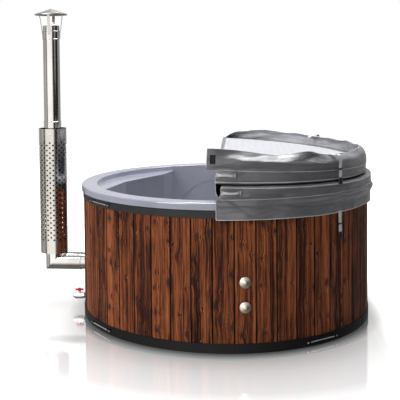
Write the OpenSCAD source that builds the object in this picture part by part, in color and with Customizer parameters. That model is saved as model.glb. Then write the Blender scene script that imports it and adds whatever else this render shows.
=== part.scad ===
// Round wood-fired hot tub with a folding cover. Millimetres, +Z up.
// The origin is on the tub's axis at floor level and the front is -Y.
// Azimuths run from the front (-Y) towards the right (+X).

/* [Tub] */
// Radius over the corners of the cladding boards
clad_r = 1000; // [970:5:1030]
// Height of the rim above the floor
rim_h = 908; // [900:1:930]
// Number of cladding boards
board_count = 48; // [40:2:56]
// Thickness of a cladding board
board_t = 20; // [16:1:24]
// Gap between two boards
board_gap = 0.8; // [0.4:0.2:2]
// Azimuth of one seam between boards
seam_az = 4.3; // [3:0.1:5]
// Height of the boards' feet above the floor
board_foot = 10; // [6:1:14]
// Thickness of the hoops
hoop_t = 4; // [3:0.5:5]
// Height of the top hoop
top_hoop_h = 48; // [40:1:52]
// Height of the bottom hoop
bottom_hoop_h = 59; // [50:1:60]
// Azimuth of one hoop joint, the others follow every quarter turn
hoop_joint_az = -52.5; // [-56:0.5:-48]
// Diameter of a hoop tension bolt
hoop_bolt_d = 7; // [5:0.5:8]
// Angle between the two lugs of a hoop joint
hoop_lug_span = 12; // [10:0.5:13]

/* [Shell] */
// Wall thickness of the shell
shell_t = 10; // [9:0.5:12]
// Width of the rim, from its inner edge to the boards' corners
rim_w = 95; // [90:1:102]
// How far the rolled lip stands out past the boards
lip_out = 15; // [13:1:18]
// Height of the rolled lip
lip_drop = 43; // [38:1:46]
// Thickness of the rolled lip
lip_t = 8; // [5:0.5:9]
// Radius of the lip's outer edge
lip_round = 14; // [8:1:18]
// Radius of the rim's inner edge
rim_round = 9; // [5:1:14]
// Height of the footwell floor
floor_h = 150; // [146:1:156]
// Radius of the footwell at its floor
foot_r = 478; // [465:1:485]
// Radius of the footwell at the bench edge
bench_r = 500; // [490:1:515]
// Height of the bench
bench_h = 480; // [474:1:495]
// How far the back wall at the bench stands inside the boards' corners
back_in = 138; // [132:1:150]
// Depth of the moulded backrests
rest_d = 5; // [3:0.5:6]
// Radius of a backrest's arch
rest_r = 400; // [370:5:415]
// Height of a backrest's highest point
rest_top = 785; // [760:5:810]

/* [Heater] */
// Azimuth of the heater niche and its door
heater_az = -120; // [-122:0.5:-118]
// Depth of the niche, from its face to the boards' corners
niche_depth = 300; // [296:1:306]
// Width of the niche's face
bulk_w = 500; // [490:5:520]
// How far the shelf over the niche lies below the rim
shelf_drop = 36; // [30:1:44]
// Width of the stove
stove_w = 400; // [396:1:410]
// Height of the stove's top above the floor
stove_top = 700; // [690:1:720]
// Sheet thickness of the stove
stove_t = 5; // [4:0.5:6]
// Water gap between the firebox and its jacket
water_gap = 25; // [23:1:27]
// Width of the stove's front plate
plate_w = 450; // [444:2:460]
// Thickness of the stove's front plate
plate_t = 6; // [4:1:8]
// Width of the door opening
door_w = 300; // [280:5:305]
// Height of the door opening
door_h = 300; // [270:5:310]
// Thickness of the door
door_t = 10; // [8:1:12]
// Diameter of the door's hinge pins
hinge_d = 8; // [6:0.5:9]
// Running clearance of a pin or spindle, on the radius
run_fit = 0.05; // [0.03:0.01:0.1]

/* [Flue] */
// Diameter of the flue pipe
flue_d = 120; // [116:1:122]
// Wall thickness of the flue pipe
flue_t = 2; // [1:0.5:2.5]
// Distance of the upright flue from the boards' corners
flue_off = 245; // [225:5:275]
// Offset of the flue towards the back
flue_y = 20; // [15:1:30]
// Height of the level flue's axis
flue_z = 310; // [306:1:315]
// Height of the flue pipe's top
flue_top = 2022; // [1950:5:2100]
// Height of the joint between the lower and the upper pipe
flue_joint_z = 1290; // [1286:1:1300]
// Diameter of the heat shield
shield_d = 198; // [190:1:205]
// Height of the heat shield's lower edge
shield_lo = 377; // [377:1:385]
// Height of the heat shield's upper edge
shield_hi = 1280; // [1250:1:1283]
// Rows of holes in the heat shield
hole_rows = 40; // [30:2:44]
// Holes in one row
row_holes = 14; // [12:2:14]
// Height between two rows
row_pitch = 18; // [17.5:0.5:19]
// Side of a diamond hole
hole_side = 12; // [8:0.5:12]
// Diameter of the rain hat
hat_d = 235; // [220:5:250]
// Height of the rain hat
hat_h = 40; // [30:1:50]

/* [Water fittings] */
// Azimuth of the two wall fittings
port_az = 8.05; // [7.5:0.05:8.6]
// Height of the return fitting
return_z = 427; // [420:1:435]
// Height of the suction fitting
suction_z = 276; // [270:1:290]
// Diameter of a wall fitting's flange
port_d = 74; // [68:1:80]
// Outer diameter of a wall fitting's pipe
port_pipe_d = 40; // [36:1:42]
// Diameter of a brass plug
plug_d = 30; // [26:1:32]
// Azimuth of the drain
drain_az = -85; // [-86:0.5:-84]
// Distance of the floor drain from the tub's axis
drain_r = 300; // [280:5:330]
// Height of the drain pipe's axis
drain_z = 85; // [84.5:0.5:87]
// Outer diameter of the drain pipe
drain_d = 38; // [34:1:40]
// Wall thickness of the water pipes
pipe_t = 3; // [2:0.5:4]
// Diameter of the valve's ball
ball_d = 34; // [32:0.5:34.5]

/* [Cover] */
// How far a cover panel reaches past the rolled lip
cover_over = 5; // [3:1:15]
// Thickness of a panel at the fold
fold_t = 102; // [94:1:106]
// How much thinner a panel is at its outer edge
taper = 28; // [20:1:32]
// Crown of a panel's padded faces
crown = 4.5; // [3:0.5:6]
// How far the hinge line lies left of the tub's axis
hinge_x = 17; // [15:1:20]
// Length of the skirt cloth
skirt_l = 124; // [110:2:128]
// Thickness of the skirt cloth
skirt_t = 3; // [2.5:0.25:3.5]
// Length of a hanging strap
strap_l = 178; // [150:2:185]
// Width of a strap's webbing
strap_w = 38; // [25:1:40]
// Width of a carry handle's webbing
handle_w = 25; // [20:1:30]
// Azimuth of the straps
strap_az = 45.5; // [42:0.5:47]

/* [Hidden] */

cut = 1;
seat_gap = 0.3;
board_a = 360 / board_count;
board_out = clad_r * cos(board_a / 2);
board_in = board_out - board_t;
board_groove = 3;
lip_r = clad_r + lip_out;
rim_in_r = clad_r - rim_w;
back_r = clad_r - back_in;
bulk_n = clad_r - niche_depth;
flue_x = clad_r + flue_off;
cover_r = lip_r + cover_over;
through = 60;
half_space = 600;
hoop_in = clad_r + seat_gap;
lug_d = 12;
lug_n = hoop_in + hoop_t + hoop_bolt_d / 2 + 1.5;
lug_out = lug_n / cos(hoop_lug_span / 2) + hoop_bolt_d / 2 + 2;
top_hoop_z = rim_h - lip_drop - top_hoop_h - 2;
shelf_z = rim_h - shelf_drop;
deck_z = rim_h - shell_t;

board_plate_t = 18;
bearer_h = 45;
bearer_w = 70;
bearer_pitch = 360;
base_top = bearer_h + board_plate_t;
ring_w = 52;
ring_out = board_in - seat_gap;
ring_in = ring_out - ring_w;
lower_ring_h = 47;
upper_ring_h = 60;
post_az = [-170, -137, -103, -68, -30, 35, 75, 115, 155];
post_s = 45;
post_gap = 0.1;
prop_az = [-45, -20, 30, 75, 120, 165];

// Pairs of distances in the heater's own frame: across it, and out from the axis
bulk_side = 60;
bulk_plan = [
    [-bulk_w / 2, bulk_n], [bulk_w / 2, bulk_n], [bulk_w / 2 + 416, bulk_n - 126],
    [bulk_w / 2 + 610, bulk_n + 40], [bulk_w / 2 + 750, bulk_n + 500],
    [-bulk_w / 2 - 750, bulk_n + 500], [-bulk_w / 2 - 750, bulk_n + 206]
];
stove_n = bulk_n + shell_t + 6;
stove_lo = base_top + 55;
jacket_t = 4;
front_n = clad_r - 45;
fire_n = stove_n + jacket_t + water_gap;
fire_w = stove_w - 2 * (jacket_t + water_gap);
fire_lo = stove_lo + 22;
fire_top = stove_top - jacket_t - water_gap;
plate_lo = base_top + lower_ring_h + 2;
plate_top = stove_top + 12;
door_lo = fire_top - stove_t - door_h - 20;
door_lap = 20;
door_n = front_n + plate_t + 5;
hinge_t = -door_w / 2 - door_lap - 18;
hinge_n = door_n + door_t;
hinge_zs = [door_lo + 40, door_lo + door_h - 60];
latch_t = door_w / 2 - 26;
latch_reach = 30;
pin_l = 42;
latch_z = door_lo + door_h / 2;
latch_d = 10;
drawer_w = fire_w - 2 * stove_t - 40;
drawer_h = 60;
drawer_lo = fire_lo + stove_t + seat_gap;
grate_z = drawer_lo + drawer_h + 20;
vent_z = (drawer_lo + drawer_h + door_lo) / 2;
vent_w = 30;
vent_h = 14;
vent_pitch = 62;
grille_t = 110;
grille_zs = [bench_h + 60, bench_h + 150];
grille_pipe_d = 50;
flue_n = fire_n + stove_t + flue_d / 2 + 2;

heater_out = [sin(heater_az), -cos(heater_az)];
heater_side = [cos(heater_az), sin(heater_az)];
flue_run = (flue_y - flue_n * heater_out[1]) / heater_side[1];
flue_corner = flue_n * heater_out + flue_run * heater_side;
flue_turn = 180 + heater_az;
elbow_d = flue_d + 6;
sleeve_fit = 0.2;
elbow_start = clad_r + 40;
stub_end = elbow_start + 45;
elbow_top = 470;
shield_t = 1.5;
bracket_zs = [500, shield_hi - 50];
collar_h = 63;
collar_z = flue_top - 100;
hat_z = flue_top + 83;
leg_w = 20;
leg_t = 2;
leg_splay = 22;
leg_foot_h = 21;
bead_r = 2.2;

port_zs = [return_z, suction_z];
inlet_gap = 4;
valve_n = clad_r + 46;
valve_body_d = 46;
stem_d = 9;

lining_t = 2;
panel_z = rim_h + lining_t + seat_gap;
taper_a = atan(taper / cover_r);
fold_gap = 2 * crown + seat_gap;
hinge_z = panel_z + fold_t + fold_gap / 2;
core_in = 16;
skirt_r = cover_r + seat_gap + skirt_t / 2;
skirt_top = panel_z + 24;
skirt_belly = 7;
skirt_wave = 1;
skirt_draw = cover_over + seat_gap - 1.6 * skirt_wave - 0.5;
bolt_reach = norm([lug_n + hoop_bolt_d / 2 + 2.5, lug_n * tan(hoop_lug_span / 2) + lug_d / 2 + 8]);
bolt_bulge = max(0, bolt_reach + 0.8 + 1.6 * skirt_wave - cover_r - seat_gap);
handle_az = [3.4, 176.6];
arc_steps = 36;
edge_steps = 10;

// Rounded corner b between a and c, as points on an arc
function corner(a, b, c, r, n = 5) =
    let (
        u = (a - b) / norm(a - b), v = (c - b) / norm(c - b), half = acos(u * v) / 2,
        m = b + (u + v) / norm(u + v) * r / sin(half), p = b + u * r / tan(half) - m,
        q = b + v * r / tan(half) - m, a0 = atan2(p[1], p[0]),
        turn = (atan2(q[1], q[0]) - a0 + 540) % 360 - 180
    )
    [for (i = [0:n]) m + r * [cos(a0 + turn * i / n), sin(a0 + turn * i / n)]];

// Quarter arc from the side of a centre m to above it
function quarter(m, r, n = 5) = [for (i = [0:n]) m + r * [-cos(90 * i / n), sin(90 * i / n)]];

// Closed outline moved inwards by d
function inset(pts, d) =
    let (k = len(pts))
    [for (i = [0:k - 1])
        let (
            e = pts[i] - pts[(i + k - 1) % k], f = pts[(i + 1) % k] - pts[i],
            m = [-e[1], e[0]] / norm(e), n = [-f[1], f[0]] / norm(f)
        )
        pts[i] + (m + n) / (1 + m * n) * d];

// Things built at the front, turned to an azimuth
module at(az) {
    rotate([0, 0, az]) children();
}

// Things whose +Z points out of the tub, at a height z and a distance r
module out(az, r, z) {
    at(az) translate([0, -r, z]) rotate([90, 0, 0]) children();
}

// A box in the heater's frame: across, outwards and up
module heater_box(t0, t1, n0, n1, z0, z1) {
    at(heater_az) translate([t0, -n1, z0]) cube([t1 - t0, n1 - n0, z1 - z0]);
}

module tube(r_out, r_in, h, fn = 96) {
    difference() {
        cylinder(h = h, r = r_out, $fn = fn);
        translate([0, 0, -cut]) cylinder(h = h + 2 * cut, r = r_in, $fn = fn);
    }
}

// Ring about the tub's axis from height z
module ring(r_out, r_in, z, h) {
    translate([0, 0, z]) tube(r_out, r_in, h, 180);
}

// Pipe along +Z cut square at the start and on a mitre plane at the end
module mitred(r, l, turn) {
    intersection() {
        translate([0, 0, -l]) cylinder(h = 2 * l, r = r, $fn = 96);
        rotate([turn / 2, 0, 0]) translate([-l, -l, -2 * l]) cube([2 * l, 2 * l, 2 * l]);
        translate([-l, -l, -l]) cube(2 * l);
    }
}

// Solid between two grids of points, a outside and b inside
module sheet_solid(a, b) {
    n = len(a) - 1;
    m = len(a[0]) - 1;
    w = m + 1;
    s = (n + 1) * w;
    pts = concat([for (row = a) for (p = row) p], [for (row = b) for (p = row) p]);
    quads = concat(
        [for (i = [0:n - 1]) for (j = [0:m - 1])
            [i * w + j, i * w + j + 1, (i + 1) * w + j + 1, (i + 1) * w + j]],
        [for (i = [0:n - 1]) for (j = [0:m - 1])
            [s + i * w + j, s + (i + 1) * w + j, s + (i + 1) * w + j + 1, s + i * w + j + 1]],
        [for (i = [0:n - 1]) [i * w, (i + 1) * w, s + (i + 1) * w, s + i * w]],
        [for (i = [0:n - 1])
            [i * w + m, s + i * w + m, s + (i + 1) * w + m, (i + 1) * w + m]],
        [for (j = [0:m - 1]) [j, s + j, s + j + 1, j + 1]],
        [for (j = [0:m - 1])
            [n * w + j, n * w + j + 1, s + n * w + j + 1, s + n * w + j]]
    );
    faces = [for (q = quads) for (k = [0, 1]) k == 0 ? [q[0], q[1], q[2]] : [q[0], q[2], q[3]]];
    polyhedron(points = pts, faces = faces, convexity = 6);
}

// Solid through closed rings of points, closed by a fan at both ends
module ring_solid(rings) {
    k = len(rings);
    w = len(rings[0]);
    pts = concat([for (r = rings) for (p = r) p], [centre(rings[0]), centre(rings[k - 1])]);
    side = [for (i = [0:k - 2]) for (j = [0:w - 1])
        let (a = i * w + j, b = i * w + (j + 1) % w, c = a + w, d = b + w)
        for (f = [[a, c, b], [b, c, d]]) f];
    low = [for (j = [0:w - 1]) [k * w, j, (j + 1) % w]];
    top = [for (j = [0:w - 1]) [k * w + 1, (k - 1) * w + (j + 1) % w, (k - 1) * w + j]];
    polyhedron(points = pts, faces = concat(side, low, top), convexity = 4);
}

function centre(r) = [for (i = [0:2]) ([for (p = r) 1] * [for (p = r) p[i]]) / len(r)];

// Base

module base_bearers() {
    color("saddlebrown") for (x = [for (i = [-2:2]) i * bearer_pitch]) {
        half = sqrt(pow(board_in - 20, 2) - pow(abs(x) + bearer_w / 2, 2));
        translate([x - bearer_w / 2, -half, 0]) cube([bearer_w, 2 * half, bearer_h]);
    }
}

module base_board() {
    color("peru") translate([0, 0, bearer_h])
        cylinder(h = board_plate_t, r = board_in - 8, $fn = 180);
}

// Cuts that the drain, the ports, the flue and the stove make in frame and boards
module wall_cuts(r_in, grow) {
    for (z = port_zs) out(port_az, r_in - 200, z)
        cylinder(h = 400, d = port_pipe_d + 2 * grow, $fn = 48);
    out(drain_az, drain_r, drain_z) cylinder(h = 900, d = drain_d + 2 * grow, $fn = 48);
}

module timber_frame() {
    color("peru") {
        difference() {
            ring(ring_out, ring_in, base_top, lower_ring_h);
            wall_cuts(ring_in, 2);
        }
        ring(ring_out, ring_in, deck_z - upper_ring_h, upper_ring_h);
        posts(0, base_top + lower_ring_h + post_gap, deck_z - upper_ring_h - post_gap);
    }
}

module posts(grow, h0, h1) {
    for (az = post_az) at(az)
        translate([-post_s / 2 - grow, -ring_out + 3 - grow, h0])
            cube([post_s + 2 * grow, post_s + 2 * grow, h1 - h0]);
}

module seat_props() {
    color("burlywood") for (az = prop_az) at(az)
        translate([-30, -(bench_r + back_r) / 2 - 22, base_top])
            cube([60, 44, bench_h - shell_t - base_top]);
}

module floor_insulation() {
    foam_r = foot_r - 40;
    color("khaki") difference() {
        translate([0, 0, base_top])
            cylinder(h = floor_h - shell_t - base_top, r = foam_r, $fn = 96);
        out(drain_az, drain_r - 45, drain_z) translate([-35, -35, 0]) cube([70, 100, 600]);
    }
}

module wall_insulation() {
    foam_lo = base_top + lower_ring_h + seat_gap;
    foam_hi = deck_z - upper_ring_h - seat_gap;
    color("khaki") difference() {
        ring(ring_out, ring_in + 4, foam_lo, foam_hi - foam_lo);
        posts(1, foam_lo - cut, foam_hi + cut);
        wall_cuts(ring_in, 4);
        heater_box(-plate_w / 2 - 40, plate_w / 2 + 40, bulk_n, clad_r + through, 0, foam_hi + cut);
        translate([-clad_r, flue_y - 150, flue_z - 100]) cube([250, 260, 200]);
    }
}

// Shell

function cavity_profile(g) = concat(
    [[0, floor_h]],
    corner([0, floor_h], [foot_r, floor_h], [bench_r, bench_h], 45),
    corner([foot_r, floor_h], [bench_r, bench_h], [back_r, bench_h], 22),
    corner([bench_r, bench_h], [back_r + g, bench_h], [rim_in_r + g, deck_z], 45),
    quarter([rim_in_r + rim_round, rim_h - rim_round], rim_round),
    [[rim_in_r + rim_round, rim_h + 50], [0, rim_h + 50]]
);

function shell_outside() = concat(
    [[0, floor_h - shell_t]],
    corner([0, floor_h - shell_t], [foot_r + shell_t, floor_h - shell_t],
        [bench_r + shell_t, bench_h - shell_t], 50),
    corner([foot_r + shell_t, floor_h - shell_t], [bench_r + shell_t, bench_h - shell_t],
        [back_r + shell_t, bench_h - shell_t], 14),
    corner([bench_r + shell_t, bench_h - shell_t], [back_r + shell_t, bench_h - shell_t],
        [rim_in_r + shell_t, deck_z], 50),
    [[rim_in_r + shell_t, deck_z], [lip_r - lip_t, deck_z]],
    [[lip_r - lip_t, rim_h - lip_drop], [lip_r, rim_h - lip_drop]],
    corner([lip_r, rim_h - lip_drop], [lip_r, rim_h], [0, rim_h], lip_round),
    [[0, rim_h]]
);

// Plan of the niche, at a distance d inside its outline
module niche_plan(d, r) {
    p = inset(bulk_plan, d);
    k = len(p);
    pts = [for (i = [0:k - 1])
        for (q = i < 3 ? corner(p[(i + k - 1) % k], p[i], p[(i + 1) % k], r) : [p[i]])
            [q[0], -q[1]]];
    at(heater_az) polygon(pts);
}

module backrests() {
    intersection() {
        rotate_extrude($fn = 180) polygon(cavity_profile(rest_d));
        union() {
            for (i = [0:5]) out(-176 - 40 * i, bench_r + 100, rest_top - rest_r)
                cylinder(h = clad_r - bench_r, r = rest_r, $fn = 120);
        }
        translate([0, 0, bench_h]) cylinder(h = rest_top, r = clad_r, $fn = 96);
    }
}

module tub_shell() {
    color("slategray") difference() {
        rotate_extrude($fn = 180) polygon(shell_outside());
        difference() {
            union() {
                rotate_extrude($fn = 180) polygon(cavity_profile(0));
                backrests();
            }
            translate([0, 0, bench_h - cut])
                linear_extrude(height = shelf_z - bench_h + cut) niche_plan(0, bulk_side);
        }
        translate([0, 0, bench_h - shell_t - 60])
            linear_extrude(height = shelf_z - bench_h + 60) niche_plan(shell_t, bulk_side - shell_t);
        out(drain_az, drain_r, floor_h - shell_t - cut) rotate([-90, 0, 0])
            cylinder(h = shell_t + 2 * cut, d = drain_d + 13, $fn = 48);
        for (z = port_zs) out(port_az, foot_r - 40, z)
            cylinder(h = 100, d = port_pipe_d + 1, $fn = 48);
        at_grilles() translate([0, 0, -20])
            cylinder(h = 60, d = grille_pipe_d + 1, $fn = 48);
    }
}

// Places of the two water connections, with +Z pointing out of the tub
module at_grilles() {
    for (k = [0, 1]) at(heater_az)
        translate([grille_t * (2 * k - 1), -bulk_n, grille_zs[k]]) rotate([90, 0, 0]) children();
}

// Cladding and hoops

module board(h) {
    half_out = board_out * tan(board_a / 2) - board_gap / 2;
    half_in = board_in * tan(board_a / 2) - board_gap / 2;
    linear_extrude(height = h) polygon([
        [-half_out + board_groove, -board_out], [half_out - board_groove, -board_out],
        [half_out - 0.3, -board_out + board_groove], [half_in, -board_in],
        [-half_in, -board_in], [-half_out + 0.3, -board_out + board_groove]
    ]);
}

module cladding_boards() {
    top = rim_h - lip_drop - 2;
    color("#6b3a22") difference() {
        for (i = [0:board_count - 1]) at(seam_az + (i + 0.5) * board_a)
            translate([0, 0, board_foot]) board(top - board_foot);
        for (z = port_zs) out(port_az, board_in - 50, z)
            cylinder(h = 100, d = port_pipe_d + 4, $fn = 48);
        out(drain_az, board_in - 50, drain_z) cylinder(h = 100, d = drain_d + 10, $fn = 48);
        heater_box(-plate_w / 2 - 3, plate_w / 2 + 3, front_n - through, clad_r + through,
            plate_lo - 2, plate_top + 3);
        translate([-clad_r - 50, flue_y, flue_z]) rotate([0, 90, 0])
            cylinder(h = 200, d = flue_d + 30, $fn = 64);
    }
}

module hoop(z, h) {
    difference() {
        union() {
            ring(hoop_in + hoop_t, hoop_in, z, h);
            for (i = [0:3]) for (s = [-1, 1])
                at(hoop_joint_az + 90 * i) rotate([0, 0, s * hoop_lug_span / 2])
                    translate([-lug_d / 2, -lug_out, z + h / 2 - 9])
                        cube([lug_d, lug_out - hoop_in - hoop_t / 2, 18]);
        }
        for (i = [0:3]) {
            at(hoop_joint_az + 90 * i) translate([-2, -clad_r - 50, z - cut])
                cube([4, 100, h + 2 * cut]);
            bolt_hole(hoop_joint_az + 90 * i, z + h / 2);
        }
        ring(hoop_in, board_in - 60, z - cut, h + 2 * cut);
    }
}

module bolt_hole(az, z) {
    at(az) translate([-150, -lug_n, z]) rotate([0, 90, 0])
        cylinder(h = 300, d = hoop_bolt_d + 0.2, $fn = 24);
}

module top_hoop() {
    color("#2d2e30") hoop(top_hoop_z, top_hoop_h);
}

module bottom_hoop() {
    color("#1c1c1e") hoop(0, bottom_hoop_h);
}

module hoop_bolts() {
    half = lug_n * tan(hoop_lug_span / 2) + lug_d / 2 + 1;
    color("silver") for (z = [top_hoop_z + top_hoop_h / 2, bottom_hoop_h / 2])
        for (i = [0:3]) at(hoop_joint_az + 90 * i) translate([0, -lug_n, z]) rotate([0, 90, 0]) {
            translate([0, 0, -half - 10]) cylinder(h = 2 * half + 20, d = hoop_bolt_d, $fn = 24);
            for (s = [-1, 1]) translate([0, 0, s * (half + 4) - 3])
                cylinder(h = 6, d = hoop_bolt_d + 5, $fn = 6);
        }
}

// Drain

module drain_strainer() {
    color("gainsboro") at(drain_az) translate([0, -drain_r, floor_h + 3]) difference() {
        cylinder(h = 4, r = 42, $fn = 48);
        for (i = [0:11]) rotate([0, 0, 30 * i])
            translate([i % 2 == 0 ? 13 : 26, 0, -cut]) cylinder(h = 6, d = 7, $fn = 16);
    }
}

module drain_tail() {
    tail_lo = drain_z + drain_d / 2 + 3;
    color("gainsboro") at(drain_az) translate([0, -drain_r, 0]) difference() {
        union() {
            translate([0, 0, tail_lo]) cylinder(h = floor_h - tail_lo, d = drain_d + 12, $fn = 48);
            translate([0, 0, floor_h]) cylinder(h = 3, r = 40, $fn = 48);
            translate([0, 0, floor_h - shell_t - 10]) cylinder(h = 10, d = drain_d + 30, $fn = 6);
        }
        translate([0, 0, tail_lo - cut])
            cylinder(h = floor_h, d = drain_d - 2 * pipe_t + 4, $fn = 48);
    }
}

module drain_pipe() {
    tail_lo = drain_z + drain_d / 2 + 3;
    bore = drain_d - 2 * pipe_t;
    color("dimgray") difference() {
        union() {
            at(drain_az) translate([0, -drain_r, drain_z])
                cylinder(h = tail_lo - drain_z, d = drain_d + 2, $fn = 48);
            at(drain_az) translate([0, -drain_r, drain_z]) sphere(d = drain_d + 2, $fn = 48);
            out(drain_az, drain_r, drain_z)
                cylinder(h = valve_n - 34 - drain_r, d = drain_d, $fn = 48);
        }
        at(drain_az) translate([0, -drain_r, drain_z]) {
            cylinder(h = 60, d = bore, $fn = 48);
            sphere(d = bore, $fn = 48);
        }
        out(drain_az, drain_r, drain_z) cylinder(h = 900, d = bore, $fn = 48);
    }
}

module drain_bush() {
    color("#222222") out(drain_az, board_in + 1, drain_z)
        tube(drain_d / 2 + 4.7, drain_d / 2 + 0.2, board_t + 4, 48);
}

// The valve's axis points out of the tub and its stem stands up
module at_valve() {
    out(drain_az, valve_n, drain_z) children();
}

module valve_body() {
    bore = drain_d - 2 * pipe_t - 6;
    color("lightgray") at_valve() difference() {
        union() {
            translate([0, 0, -33.7]) cylinder(h = 16, d = valve_body_d, $fn = 6);
            translate([0, 0, -20]) cylinder(h = 40, d = valve_body_d, $fn = 48);
            translate([0, 0, 18]) cylinder(h = 14, d = valve_body_d, $fn = 6);
            translate([0, 0, 32]) cylinder(h = 12, d = 28, $fn = 48);
            rotate([-90, 0, 0]) cylinder(h = 31, d = 18, $fn = 32);
        }
        translate([0, 0, -40]) cylinder(h = 100, d = bore, $fn = 48);
        sphere(d = ball_d + 0.4, $fn = 64);
        rotate([-90, 0, 0]) cylinder(h = 40, d = stem_d + 2 * run_fit, $fn = 48);
    }
}

module valve_ball() {
    bore = drain_d - 2 * pipe_t - 6;
    color("silver") at_valve() {
        difference() {
            sphere(d = ball_d, $fn = 64);
            translate([0, 0, -40]) cylinder(h = 80, d = bore, $fn = 48);
        }
        rotate([-90, 0, 0]) difference() {
            translate([0, 0, ball_d / 2 - 2]) cylinder(h = 24, d = stem_d, $fn = 48);
            translate([-4, -cut - 8, 34]) cube([8, 1, 8]);
        }
    }
}

// Butterfly handle in line with the pipe while the valve is open
module valve_handle() {
    color("red") at_valve() rotate([-90, 0, 0]) difference() {
        union() {
            translate([0, 0, 31.3]) cylinder(h = 20, d = 21, $fn = 48);
            translate([-6, -20, 38]) cube([12, 40, 9]);
            for (s = [-1, 1]) translate([0, s * 20, 37]) cylinder(h = 11, d = 17, $fn = 48);
        }
        translate([0, 0, 20]) cylinder(h = 19.05, d = stem_d, $fn = 48);
    }
}

// Wall fittings for the filter

module port_flanges() {
    color("gainsboro") for (z = port_zs) out(port_az, board_out + 2, z) difference() {
        rotate_extrude($fn = 64) difference() {
            intersection() {
                square([port_d / 2, 11]);
                translate([0, -48]) circle(r = 59, $fn = 120);
            }
            translate([0, -cut]) square([plug_d / 2 + seat_gap, 20]);
        }
    }
}

module port_gaskets() {
    color("#1a1a1a") for (z = port_zs) out(port_az, board_out, z)
        tube(port_d / 2 - 2, port_pipe_d / 2 + 0.4, 2, 48);
}

// Distance of the footwell wall from the axis at height z
function wall_at(z) = foot_r + (z - floor_h) * (bench_r - foot_r) / (bench_h - floor_h);

module port_pipes() {
    color("dimgray") for (z = port_zs) {
        n0 = wall_at(z) - inlet_gap + seat_gap;
        out(port_az, n0, z) tube(port_pipe_d / 2, plug_d / 2 + 0.5, board_out + 2 - n0, 48);
    }
}

module port_inlets() {
    color("gainsboro") for (z = port_zs) {
        wall_n = wall_at(z) - inlet_gap;
        out(port_az, wall_n - 8, z) difference() {
            cylinder(h = 8, r = 36, $fn = 48);
            for (i = [0:7]) rotate([0, 0, 45 * i]) translate([24, 0, -cut])
                cylinder(h = 12, d = 8, $fn = 16);
            translate([0, 0, -cut]) cylinder(h = 12, d = plug_d - 8, $fn = 32);
        }
        out(port_az, wall_n, z) tube(plug_d / 2, plug_d / 2 - 4, 30, 32);
    }
}

module port_plug(z) {
    color("goldenrod") out(port_az, board_out - 20, z) {
        cylinder(h = 33, d = plug_d, $fn = 48);
        translate([0, 0, 33]) rotate_extrude($fn = 64) intersection() {
            square([plug_d / 2 + 3, 8]);
            translate([0, -20]) circle(r = 26, $fn = 96);
        }
    }
}

module return_plug() {
    port_plug(return_z);
}

module suction_plug() {
    port_plug(suction_z);
}

// Stove

module flue_leg(r, from_t) {
    translate([0, 0, flue_z]) at(heater_az) translate([flue_run, -flue_n, 0])
        rotate([0, -90, 0]) cylinder(h = flue_run - from_t, r = r, $fn = 96);
}

module stove_jacket() {
    color("silver") difference() {
        union() {
            heater_box(-stove_w / 2, stove_w / 2, stove_n, front_n, stove_lo, stove_top);
            for (t = [-stove_w / 2 + 10, stove_w / 2 - 40]) for (n = [stove_n + 10, front_n - 85])
                heater_box(t, t + 30, n, n + 30, base_top, stove_lo + 1);
            at_grilles() translate([0, 0, seat_gap])
                cylinder(h = stove_n - bulk_n + 1, d = grille_pipe_d, $fn = 48);
        }
        heater_box(-stove_w / 2 + jacket_t, stove_w / 2 - jacket_t, stove_n + jacket_t,
            front_n + cut, stove_lo + jacket_t, stove_top - jacket_t);
        flue_leg(flue_d / 2 + 0.2, stove_w / 2 - 20);
        at_grilles() translate([0, 0, -10]) cylinder(h = 40, d = grille_pipe_d - 8, $fn = 48);
    }
}

module firebox() {
    half = fire_w / 2;
    color("dimgray") {
        difference() {
            union() {
                heater_box(-half, half, fire_n, front_n, fire_lo, fire_top);
                for (s = [-1, 1]) heater_box(s * (half + water_gap / 2) - water_gap / 2,
                    s * (half + water_gap / 2) + water_gap / 2, front_n - 6, front_n,
                    fire_lo, fire_top);
                heater_box(-half, half, fire_n + 30, fire_n + 60, stove_lo + jacket_t, fire_lo);
            }
            difference() {
                heater_box(-half + stove_t, half - stove_t, fire_n + stove_t, front_n + cut,
                    fire_lo + stove_t, fire_top - stove_t);
                for (s = [-1, 1]) heater_box(s * (half - stove_t - 5) - 6,
                    s * (half - stove_t - 5) + 6, fire_n, front_n - 4, grate_z - 8, grate_z);
            }
            flue_leg(flue_d / 2 - flue_t, half - 40);
        }
    }
}

module fire_grate() {
    half = fire_w / 2 - stove_t - 2;
    n0 = fire_n + stove_t + 3;
    n1 = front_n - 4;
    bars = 12;
    color("#3a3a3a") difference() {
        heater_box(-half, half, n0, n1, grate_z, grate_z + 12);
        for (i = [0:bars - 1]) {
            t = -half + 18 + (2 * half - 36) * i / bars;
            heater_box(t, t + (2 * half - 36) / bars - 10, n0 + 14, n1 - 14, 0, 600);
        }
    }
}

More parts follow.
